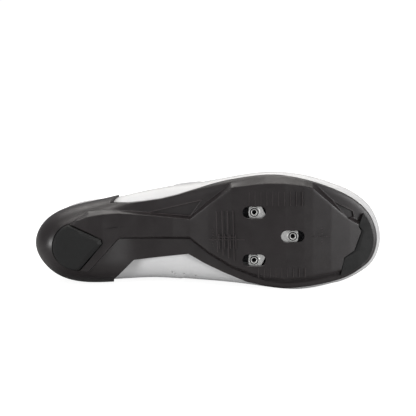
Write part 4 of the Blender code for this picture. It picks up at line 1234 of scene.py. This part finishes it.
def make_bar(start, end):
    """A low bar on the flat platform from start to end, both (x, y)."""
    run = math.dist(start, end)
    deselect()
    bpy.ops.mesh.primitive_cube_add(size=1)
    bar = bpy.context.object
    edit_all(bar)
    bpy.ops.transform.resize(value=(run, BAR_WIDTH, BAR_HEIGHT + BAR_SINK))
    leave_edit()
    for vertex in bar.data.vertices:
        if vertex.co.z < 0:
            vertex.co.y *= BAR_DRAFT
            vertex.co.x -= math.copysign(BAR_WIDTH * (1 - BAR_DRAFT) / 2, vertex.co.x)
    turn = Matrix.Rotation(math.atan2(end[1] - start[1], end[0] - start[0]), 4, "Z")
    middle = Vector(((start[0] + end[0]) / 2, (start[1] + end[1]) / 2, (BAR_SINK - BAR_HEIGHT) / 2))
    bar.data.transform(Matrix.Translation(middle) @ turn)
    return bar


# Rows of bars, in millimetres: first and pitch along the shoe, then each end's y at the first and last bar
GAUGE_ROWS = [
    # first, pitch, count, outer, outer_last, inner, inner_last, slant
    (149.5, 4.50, 4, -25.0, -25.0, 9.0, 16.0, 1.2),
    (151.7, 4.50, 4, -6.0, -6.0, 6.0, 6.0, 0.4),
    (176.1, 4.78, 10, -40.8, -40.4, -29.0, -29.0, 0.0),
    (183.9, 4.73, 9, 21.9, 21.9, 29.9, 29.3, 0.0),
]
LONG_BARS = [(143.6, 172.6, -1.4), (150.0, 165.0, -3.6)]
DOT = 0.9
DOT_PITCH = 2.2
REAR_DOTS = (146.6, -9.5)
FRONT_DOTS = (234.7, -4.1)
FRONT_PITCH = 1.9


def bar_along(x, y, length):
    """A bar that runs along the shoe, its place and length in millimetres."""
    return make_bar((x * MM, y * MM), ((x + length) * MM, y * MM))


bars = []
for first, pitch, count, outer, outer_last, inner, inner_last, slant in GAUGE_ROWS:
    for k in range(count):
        x = first + pitch * k
        low = np.interp(k, [0, count - 1], [outer, outer_last])
        high = np.interp(k, [0, count - 1], [inner, inner_last])
        bars.append(make_bar((x * MM, low * MM), ((x + slant) * MM, high * MM)))
bars += [bar_along(start, y, end - start) for start, end, y in LONG_BARS]
bars += [bar_along(REAR_DOTS[0], REAR_DOTS[1] + DOT_PITCH * k, DOT) for k in range(7)]
bars += [bar_along(FRONT_DOTS[0], FRONT_DOTS[1] + DOT_PITCH * k, DOT) for k in range(-3, 4)]
bars += [bar_along(FRONT_DOTS[0] + FRONT_PITCH * k, FRONT_DOTS[1], DOT) for k in range(-3, 4) if k]
gauge = join(bars, "gauge_lines")
# The bars take the lighter ridge finish, a painted highlight
gauge.data.materials.append(RIDGE_HIGHLIGHT)
print("gauge bars:", len(bars))
lay_down(gauge, "shoe", "sole_composite", angle=20)

# %% [markdown]
# ## Rubber heel and toe
#
# Both are rubber blocks let into the sole, with a dark groove round them. The heel is a loft of rings
# over its round outline, with a wide bevel at its two front edges. The toe is a grid from its stepped
# back edge to the rim, extruded to its thickness, with its edges bevelled.

# %% Heel pad
PAD_STEP = 0.8 * MM
PAD_EDGE = 0.35 * MM
PAD_SHRINK = 0.45 * MM
PAD_SHOULDER = 0.4 * MM
PAD_FACE_RINGS = 13
BEVEL_FADE = 0.35


def heel_pad_rings():
    """Rings from the pad's seat down its side, over the bevel and in across its face."""
    outline = dense(heel_pad_outline(-PAD_SHRINK), PAD_STEP)
    centre = np.array(PAD_CENTRE)
    away = outline - centre
    reach = np.linalg.norm(away, axis=1)
    away /= reach[:, None]
    front = np.clip((outline[:, 0] - centre[0]) / (PAD_RADIUS * BEVEL_FADE), 0, 1)
    bevel = PAD_RIM + (PAD_CHAMFER - PAD_RIM) * front
    drop = PAD_RIM + PAD_SHOULDER
    top = HEEL_BASE + PAD_SEAT - GAP

    def ring(inset, z):
        place = outline - away * np.broadcast_to(inset, reach.shape)[:, None]
        return np.column_stack([place, np.broadcast_to(z, reach.shape)])

    rings = [ring(0.0, top), ring(0.0, drop * 1.8), ring(0.0, drop * 1.15), ring(0.05 * MM, drop)]
    for share in (0.15, 0.5, 0.85):
        rings.append(ring(bevel * share, drop * (1 - share) + 0.02 * MM))
    rings.append(ring(bevel + PAD_EDGE * 0.2, 0.05 * MM))
    rings.append(ring(bevel + PAD_EDGE, 0.0))
    for share in np.linspace(0, 1, PAD_FACE_RINGS + 1)[1:]:
        rings.append(ring(bevel + PAD_EDGE + (reach - bevel - PAD_EDGE) * share, 0.0))
    return rings


heel_pad = column("heel_rubber", heel_pad_rings(), [RUBBER])
lay_down(heel_pad, "shoe", "pad_rubber", "heel_pad", angle=28)

# %% Toe pad
TOE_COLUMNS = 72
TOE_LINES = 26
TOE_TRIM = 0.4 * MM
EDGE_SEARCH = 20001
TOE_BEVEL = 1.0 * MM
FACET_WIDTH = 3.4 * MM
FACET_RISE = 0.9 * MM


def toe_pad_net():
    """Plan of the pad as lines along the shoe, each from the stepped edge forward to the round one."""
    rows = np.linspace(ROWS - TOE_PAD_ROWS, ROWS + TOE_PAD_ROWS, TOE_PAD_POINTS)
    out_x, out_y = outward(rows)
    edge = sole_under(rows, row_values(rows)[..., RIM])
    front = edge[:, :2] - np.column_stack([out_x, out_y]) * TOE_PAD_INSET
    front = front[np.argsort(front[:, 1])]
    back = np.array(plan(TOE_PAD_EDGE[::-1]))
    search = np.linspace(back[0, 1], back[-1, 1], EDGE_SEARCH)
    ahead = search[np.interp(search, front[:, 1], front[:, 0]) > np.interp(search, back[:, 1], back[:, 0])]
    places = np.linspace(ahead[0], ahead[-1], TOE_COLUMNS)
    for corner in back[1:-1, 1]:
        places[np.argmin(abs(places - corner))] = corner
    places[[0, -1]] += (TOE_TRIM, -TOE_TRIM)
    near = np.interp(places, back[:, 1], back[:, 0])
    far = np.interp(places, front[:, 1], front[:, 0])
    x = near + (far - near) * np.linspace(0, 1, TOE_LINES)[:, None]
    return x, np.broadcast_to(places, x.shape)


def distance_to(line, x, y):
    """Least distance from points to a polyline."""
    best = np.full(x.shape, np.inf)
    for start, end in zip(line, line[1:]):
        span = end - start
        share = np.clip(((x - start[0]) * span[0] + (y - start[1]) * span[1]) / span.dot(span), 0, 1)
        best = np.minimum(best, np.hypot(x - start[0] - share * span[0], y - start[1] - share * span[1]))
    return best


def toe_pad_face(x, y):
    """Underside of the pad: level with the platform, with a low facet at the middle of its back edge."""
    edge = np.array(plan(TOE_PAD_EDGE[1:5]))
    across = edge[:, 1]
    width = FACET_WIDTH * np.interp(y, [across[3], across[2], across[1], across[0]], [0.0, 0.45, 1.0, 0.0])
    away = distance_to(edge, x, y)
    facet = np.clip(1 - away / np.maximum(width, 0.01 * MM), 0, 1)
    return toe_pad_height(x) + FACET_RISE * facet


x, y = toe_pad_net()
low = np.minimum(toe_pad_face(x, y), underside_height(x) - GAP - TOE_TRIM)
toe_pad = lay_grid("toe_rubber", np.stack([x, y, low], -1), [RUBBER], closed=False)
edit_all(toe_pad)
bpy.ops.mesh.extrude_region_move(TRANSFORM_OT_translate={"value": (0, 0, 1)})
leave_edit()
lifted = [vertex for vertex in toe_pad.data.vertices if vertex.co.z > 0.5]
for vertex, height in zip(lifted, underside_height(np.array([vertex.co.x for vertex in lifted])) - GAP):
    vertex.co.z = height
edit_all(toe_pad)
bpy.ops.mesh.normals_make_consistent(inside=False)
leave_edit()
modify(toe_pad, "BEVEL", width=TOE_BEVEL, segments=3, limit_method="ANGLE", angle_limit=math.radians(50))
lay_down(toe_pad, "shoe", "pad_rubber", "toe_pad", angle=40)

# %% [markdown]
# ## Cleat nuts
#
# Each nut is a steel plate inside the sole with a threaded boss that stands in the slot, so it can slide
# along the shoe. A stadium is extruded into the plate, and the boss is turned: a profile of rings, spun
# about its own axis, gives the outer collar, the groove and the threaded tube in one go. The groove's
# faces are painted near-black, as painted shade.

# %% Turned boss
SPIN_STEPS = 48
COLLAR_INNER = 3.65 * MM
GROOVE_DEPTH = 1.3 * MM
TUBE_OUTER = 2.85 * MM
TUBE_RISE = 0.25 * MM
GROOVE_FACES = (6, 8)
THREAD_PITCH = 0.8 * MM
THREAD_DEPTH = 0.15 * MM
COLLAR_CHAMFER = 0.25 * MM
PLATE_EDGE = 0.3 * MM
NOSE_SHOWN = 4.3 * MM
TAIL_SHORT = 4.9 * MM
TAIL_LONG = 11.2 * MM


def boss_profile(low):
    """Radius and height from the plate out, over the collar, groove and tube, and up the threaded hole."""
    face = BOSS_RECESS
    tube = BOSS_RECESS - TUBE_RISE
    profile = [(BOSS_RADIUS + 0.35 * MM, low), (BOSS_RADIUS, low - 0.5 * MM)]
    profile += [(BOSS_RADIUS, face + COLLAR_CHAMFER), (BOSS_RADIUS - COLLAR_CHAMFER, face)]
    profile += [(COLLAR_INNER + 0.1 * MM, face)]
    profile += [(COLLAR_INNER, face + 0.1 * MM), (COLLAR_INNER - 0.1 * MM, face + GROOVE_DEPTH)]
    profile += [(TUBE_OUTER, face + GROOVE_DEPTH), (TUBE_OUTER, tube + THREAD_DEPTH)]
    profile += [(TUBE_OUTER - THREAD_DEPTH, tube), (THREAD_RADIUS + 0.3 * MM, tube)]
    height = face + 0.05 * MM
    top = low + PLATE_THICKNESS
    while height < top - THREAD_PITCH / 2:
        profile.append((THREAD_RADIUS + THREAD_DEPTH, height))
        profile.append((THREAD_RADIUS - THREAD_DEPTH, height + THREAD_PITCH / 2))
        height += THREAD_PITCH
    return profile + [(THREAD_RADIUS, top), (BOSS_RADIUS * 0.9, top)]


def turned(name, profile, x, y):
    """A profile of radius and height, spun about an upright axis, with painted shade in its groove."""
    angles = np.linspace(0, 2 * math.pi, SPIN_STEPS + 1)
    net = [[(x + r * math.cos(a), y + r * math.sin(a), z) for a in angles] for r, z in profile]
    boss = lay_grid(name, np.array(net + net[:1]), [STEEL, SHADE])
    for number, face in enumerate(boss.data.polygons):
        # The groove's faces get the painted shade
        face.material_index = int(GROOVE_FACES[0] <= number // SPIN_STEPS <= GROOVE_FACES[1])
    return boss


def nut_plate(name, x, y, way):
    """The plate above its slot, drilled for the boss. The rear two have a slanted tail."""
    low = SLOT_SKIN + GAP
    tail, nose = PLATE_TAIL * way, -PLATE_NOSE * way
    outline = stadium(x + (tail + nose) / 2, y, abs(tail - nose), PLATE_WIDTH)
    levels = [(low, -PLATE_EDGE), (low + PLATE_EDGE, 0.0), (low + PLATE_THICKNESS - PLATE_EDGE, 0.0)]
    plate = prism(name, outline, levels + [(low + PLATE_THICKNESS, -PLATE_EDGE)])
    plate.data.materials.append(STEEL)
    radius = THREAD_RADIUS + PLATE_EDGE
    turns = np.linspace(0, 2 * math.pi, 33)[:-1]
    nose_end = x - way * NOSE_SHOWN
    nose_past = nose_end - way * PLATE_TAIL
    side = PLATE_WIDTH
    removed = [[(x + radius * math.cos(a), y + radius * math.sin(a)) for a in turns]]
    removed.append([(nose_end, y - side), (nose_past, y - side), (nose_past, y + side), (nose_end, y + side)])
    if way > 0:
        outwards = -1 if y < NUT_AXIS else 1
        near = (x + TAIL_SHORT, y + outwards * PLATE_WIDTH / 2)
        far = (x + TAIL_LONG, y - outwards * PLATE_WIDTH / 2)
        removed.append([near, far, (x + 2 * PLATE_TAIL, far[1]), (x + 2 * PLATE_TAIL, near[1])])
    for outline in removed:
        cut(plate, [prism("removed", outline, [(0.0, 0.0), (HEEL_SEAT, 0.0)])])
    return plate


for name, x, y, way in nut_places():
    boss = turned(name + "_boss", boss_profile(SLOT_SKIN + GAP), x, y)
    nut = join([nut_plate(name + "_plate", x, y, way), boss], name + "_steel")
    lay_down(nut, name, "nut_steel", name, angle=30)

# %% [markdown]
# ## The white upper
#
# The upper is one wall of microfibre, folded under the foot and lasted. Its net follows the ribs from
# the margin under the foot up to the collar and throat, over a rolled edge and down the inside. Soft
# creases are troughs and ridges in the net itself, placed where a foot bends it.

# %% Creases, by place round the shoe and up the rib
CREASES = [
    # row, row_width, low, high, depth in shares of UPPER_WALL
    (11.7, 0.30, 0.72, 1.00, 0.26),
    (12.5, 0.24, 0.66, 1.00, 0.34),
    (13.2, 0.22, 0.62, 0.98, 0.22),
    (20.9, 0.26, 0.70, 1.00, 0.30),
    (21.7, 0.24, 0.66, 1.00, 0.24),
    (5.2, 0.40, 0.55, 0.85, 0.22),
    (28.6, 0.40, 0.55, 0.85, 0.22),
]
UPPER_ROWS = 240
UPPER_RINGS = 64
LINING_RINGS = 26
HIDDEN_RINGS = 8
HIDDEN_SHARE = 0.9
ROLL_RINGS = 6


def crease_depth(row, v):
    """How far the surface is pushed in by the creases, with a ridge beside each trough."""
    total = np.zeros(np.broadcast(row, v).shape)
    for place, width, low, high, depth in CREASES:
        across = (row - place - 0.5 * (v - 0.8)) / width
        middle, half = (low + high) / 2, (high - low) / 2
        fade = np.clip(1 - np.abs(v - middle) / half, 0, 1)
        total = total - depth * UPPER_WALL * (1 - across**2) * np.exp(-(across**2)) * np.sqrt(fade)
    return total


# Seams where one panel lies over the next: the row of its edge at the sole and at the top, on both sides
SEAMS = [(7.4, 5.2, 1), (13.4, 15.0, -1)]
OVERLAY = 0.45 * MM
SEAM_WIDTH = 0.05


def seam_row(low, high, v):
    """Row of a seam at a place up the rib, counted from the heel."""
    return low + (high - low) * np.clip((v - 0.3) / 0.7, 0, 1)


def overlay_height(row, v):
    """Thickness that the heel panel and the toe panel add over the quarter between them."""
    from_heel = np.minimum(row, 2 * ROWS - row)
    total = np.zeros(np.broadcast(row, v).shape)
    for low, high, way in SEAMS:
        past = np.clip(0.5 + way * (seam_row(low, high, v) - from_heel) / SEAM_WIDTH, 0, 1)
        total = total + OVERLAY * past * past * (3 - 2 * past)
    return total


def upper_rings():
    """Rings of the outer face from the margin up, of the rolled edge, and of the lining back down."""
    rows = rib_rows(UPPER_ROWS)
    rim = row_values(rows)[..., RIM]
    hidden = rim * HIDDEN_SHARE
    outside = [0 * rim, 0 * rim + V_TURN * 0.5]
    outside += [V_TURN + (hidden - V_TURN) * share for share in np.linspace(0, 1, HIDDEN_RINGS)]
    outside += [hidden + (1 - hidden) * share for share in np.linspace(0, 1, UPPER_RINGS)[1:]]
    outer = [upper_surface(rows, v, crease_depth(rows, v) + overlay_height(rows, v)) for v in outside]
    rolled = []
    for angle in np.linspace(0, math.pi, ROLL_RINGS + 2)[1:-1]:
        lip = upper_surface(rows, 0 * rim + 1, -UPPER_WALL * (1 - math.cos(angle)) / 2)
        lip[:, 2] += UPPER_WALL * 0.5 * math.sin(angle)
        rolled.append(lip)
    inner = [upper_surface(rows, 0 * rim + v, -UPPER_WALL) for v in np.linspace(1, V_TURN, LINING_RINGS)]
    inner.append(upper_surface(rows, 0 * rim, -UPPER_WALL))
    return outer, rolled, inner


outer, rolled, inner = upper_rings()
rings = outer + rolled + inner
upper = lay_grid("white_upper", net_of(rings + rings[:1]), [WHITE, LINING, VAMP])
lining_from = len(outer) + len(rolled) // 2
inside = [lining_from <= ring < len(rings) - 1 for ring in range(len(rings))]
print("upper rings:", len(rings), "lining starts at ring", lining_from)

# %% Lining on the inside, a perforated vamp outside
# The grid's faces stay in rows after the merge, so a face's number says where it lies on the wall.
VAMP_ROWS = (12.2, 21.8)
VAMP_RINGS = (36, 62)

faces_a_row = 2 * UPPER_ROWS
for number, face in enumerate(upper.data.polygons):
    ring, place = divmod(number, faces_a_row)
    row = place * ROWS / UPPER_ROWS
    if inside[min(ring, len(rings) - 1)]:
        face.material_index = 1
    elif VAMP_ROWS[0] < row < VAMP_ROWS[1] and VAMP_RINGS[0] <= ring < VAMP_RINGS[1]:
        face.material_index = 2
print("lining and vamp faces:", sum(face.material_index > 0 for face in upper.data.polygons))

# %% Four holes at the inner arch
# Each is found along the line of sight through a place given in plan, at SIGHT_HEIGHT, and drilled square.
HOLE_DEPTH = 2 * UPPER_WALL
SIGHT_HEIGHT = 20 * MM
HOLES = [(113.4 * MM, 28.3 * MM), (115.9 * MM, 30.0 * MM), (123.4 * MM, 29.6 * MM), (133.0 * MM, 31.2 * MM)]

towards_eye = STANDING.to_3x3().inverted() @ VIEW_FROM
drills = []
for x, y in HOLES:
    start = Vector((x, y, SIGHT_HEIGHT)) + towards_eye * BALL_WIDTH
    found, spot, normal, _ = upper.ray_cast(start, -towards_eye)
    if found:
        deselect()
        bpy.ops.mesh.primitive_cylinder_add(vertices=20, radius=HOLE_RADIUS, depth=2 * HOLE_DEPTH)
        drill = bpy.context.object
        drill.data.transform(Matrix.Translation(spot) @ normal.to_track_quat("Z", "Y").to_matrix().to_4x4())
        drills.append(drill)
print("arch holes:", len(drills))
cut(upper, drills)
lay_down(upper, "shoe", "upper_white", "upper", angle=60)

# %% Stitches
STITCH_LENGTH = 2.3 * MM
STITCH_PITCH = 3.1 * MM
STITCH_RADIUS = 0.27 * MM
THREAD_RISE = 0.05 * MM


def make_stitch():
    """One stitch: a short thread that thins out to both ends."""
    deselect()
    bpy.ops.mesh.primitive_uv_sphere_add(segments=8, ring_count=6, radius=1)
    stitch = bpy.context.object
    stitch.data.transform(Matrix.Rotation(math.pi / 2, 4, "Y"))
    edit_all(stitch)
    bpy.ops.transform.resize(value=(STITCH_LENGTH / 2, STITCH_RADIUS, STITCH_RADIUS))
    leave_edit()
    stitch.data.materials.append(THREAD)
    return stitch


def sew(lines, name):
    """Stitches along lines of points with their normals, joined into one piece."""
    model = make_stitch()
    made = []
    for points, normals in lines:
        run = np.concatenate([[0], np.linalg.norm(np.diff(points, axis=0), axis=1).cumsum()])
        for at in np.arange(STITCH_PITCH / 2, run[-1], STITCH_PITCH):
            place, ahead, up = (
                np.array([np.interp(where, run, values[:, axis]) for axis in range(3)])
                for where, values in ((at, points), (at + STITCH_LENGTH / 2, points), (at, normals))
            )
            way = Vector(ahead - place).normalized()
            side = Vector(up).cross(way).normalized()
            turn = Matrix((way, side, way.cross(side))).transposed().to_4x4()
            stitch = model.copy()
            stitch.data = model.data.copy()
            bpy.context.scene.collection.objects.link(stitch)
            stitch.data.transform(Matrix.Translation(Vector(place)) @ turn)
            made.append(stitch)
    bpy.data.objects.remove(model)
    print(name, len(made), "stitches")
    return join(made, name)


def upper_line(rows, v):
    """Points and normals of a line on the outside of the upper."""
    height = crease_depth(rows, v) + overlay_height(rows, v)
    points = upper_surface(rows, v, height + THREAD_RISE)
    return points, upper_surface(rows, v, height + MM) - upper_surface(rows, v, height)


SEAM_SET_BACK = 0.16
SEAM_RUN = (0.46, 0.93)
COLLAR_STITCH = 0.955

edge_rows = np.linspace(0.2, 2 * ROWS - 0.2, 400)
lines = [upper_line(edge_rows, 0 * edge_rows + COLLAR_STITCH)]
heights = np.linspace(*SEAM_RUN, 60)
for low, high, way in SEAMS:
    back = seam_row(low, high, heights) - way * SEAM_SET_BACK
    lines.append(upper_line(back, heights))
    lines.append(upper_line(2 * ROWS - back, heights))
lay_down(sew(lines, "upper_stitches"), "shoe", "upper_white", angle=60)

# %% [markdown]
# ## Insole, tongue and straps
#
# Inside lies a removable insole, under the throat a padded tongue, and over it three straps. They are
# hidden in the picture and finished plainly: bent bands with rounded edges and rows of stitches.

# %% Insole
INSOLE_ROWS = 120


def insole_rings():
    """Rings from the middle of the insole's underside out, round its edge and in over its face."""
    rows = rib_rows(INSOLE_ROWS)
    values = row_values(rows)
    out_x, out_y = outward(rows)
    flat = -values[..., TURN] * FEATHER_TURN
    x, y = middle_line(rows)
    lift = UPPER_WALL + GAP
    thick = INSOLE_THICKNESS

    def ring(reach, up):
        px = values[..., ALONG] * LENGTH + out_x * reach
        py = values[..., SIDE] * BALL_WIDTH + out_y * reach
        return np.column_stack([px, py, floor_height(px) + up])

    def towards(ring_points, share, up):
        moved = ring_points * (1 - share)
        moved[:, 0] += x * share
        moved[:, 1] += y * share
        moved[:, 2] = floor_height(moved[:, 0]) + up
        return moved

    edge = ring(flat + INSOLE_SPREAD, lift + thick)
    rings = [np.column_stack([x, y, floor_height(x) + lift]), ring(flat - INSOLE_UNDERCUT, lift)]
    rings += [ring(flat + INSOLE_SPREAD, lift + thick * share) for share in (0.5, 0.8)]
    rings.append(ring(flat + INSOLE_SPREAD - INSOLE_UNDERCUT, lift + thick * 0.97))
    rings += [towards(edge, share, lift + thick) for share in np.linspace(0.03, 1, 16)]
    return rings


insole = lay_grid("insole_cloth", net_of(insole_rings()), [INSOLE])
lay_down(insole, "shoe", "insole_grey", "insole")

# %% Bands over the instep
BAND_EDGE = 0.55 * MM


def facing_up(piece):
    """Turns the faces of an open sheet so that its middle faces up."""
    middle = piece.data.polygons[len(piece.data.polygons) // 2]
    if middle.normal.z < 0:
        edit_all(piece)
        bpy.ops.mesh.flip_normals()
        leave_edit()


def bent_band(name, sections, thickness, finishes, edge):
    """A sheet over the sections, thickened on its outer side, with its edges rounded."""
    band = lay_grid(name, np.array(sections), finishes, closed=False)
    facing_up(band)
    modify(band, "SOLIDIFY", thickness=thickness, offset=1, use_even_offset=True)
    modify(band, "BEVEL", width=edge, segments=3, limit_method="ANGLE", angle_limit=math.radians(55))
    return band


# %% Straps
STRAP_LINES = 26
STRAP_COLUMNS = 110


def strap_sections(along, width, lateral_end, medial_end, offset):
    """Lines over the instep from one edge of a strap to the other, shorter at its rounded corners."""
    sections = []
    for share in np.linspace(-0.5, 0.5, STRAP_LINES):
        shorten = STRAP_ROUNDING * share**4
        ends = (lateral_end + shorten, medial_end + shorten)
        sections.append(section((along + share * width) * LENGTH, ends, offset, STRAP_COLUMNS))
    return np.array(sections)


straps = {name: strap_sections(*places, STRAP_CLEARANCE) for name, places in STRAPS.items()}
for name, lines in straps.items():
    strap = bent_band(name.replace("strap", "closing_strap"), lines, STRAP_THICKNESS, [STRAP], BAND_EDGE)
    lay_down(strap, "shoe", "strap_white", name, angle=40)

# %% Stitches of the straps
STITCH_LINE = 3


def strap_line(sections, line):
    """Points and normals along a strap, on its upper face."""
    along = np.gradient(sections, axis=0)
    across = np.gradient(sections, axis=1)
    normal = np.cross(across, along)
    normal /= np.linalg.norm(normal, axis=-1, keepdims=True)
    if normal[STRAP_LINES // 2, STRAP_COLUMNS // 2, 2] < 0:
        normal = -normal
    return (sections + normal * STRAP_THICKNESS)[line, 4:-4], normal[line, 4:-4]


edges = (STITCH_LINE, -1 - STITCH_LINE)
lines = [strap_line(sections, edge) for sections in straps.values() for edge in edges]
lay_down(sew(lines, "strap_stitches"), "shoe", "strap_white", angle=60)

# %% Tongue
TONGUE_LINES = 60
TONGUE_COLUMNS = 44
TOP_LINES = 15
TONGUE_EDGE = 1.2 * MM


def tongue_sections():
    """Lines under the throat from the tongue's front to its back, and on over its rounded top."""
    depth = -(UPPER_WALL + TONGUE_CLEARANCE + TONGUE_THICKNESS)
    front, back = TONGUE_RUN
    sections = []
    for along in np.linspace(front, back, TONGUE_LINES):
        sections.append(section(along * LENGTH, (TONGUE_TUCK, TONGUE_TUCK), depth, TONGUE_COLUMNS))
    last = sections[-1]
    way = (last - sections[-6]).mean(axis=0)
    way = way / np.linalg.norm(way) + np.array([0, 0, TONGUE_LEAN])
    way /= np.linalg.norm(way)
    middle = last.mean(axis=0)
    for share in np.linspace(0, 1, TOP_LINES + 1)[1:]:
        draw = np.array([1, 1 - TONGUE_ROUNDING * share, 1])
        sections.append((last - middle) * draw + middle + way * TONGUE_RISE * share)
    return sections


tongue = bent_band("padded_tongue", tongue_sections(), TONGUE_THICKNESS, [TONGUE], TONGUE_EDGE)
lay_down(tongue, "shoe", "tongue_grey", "tongue", angle=50)
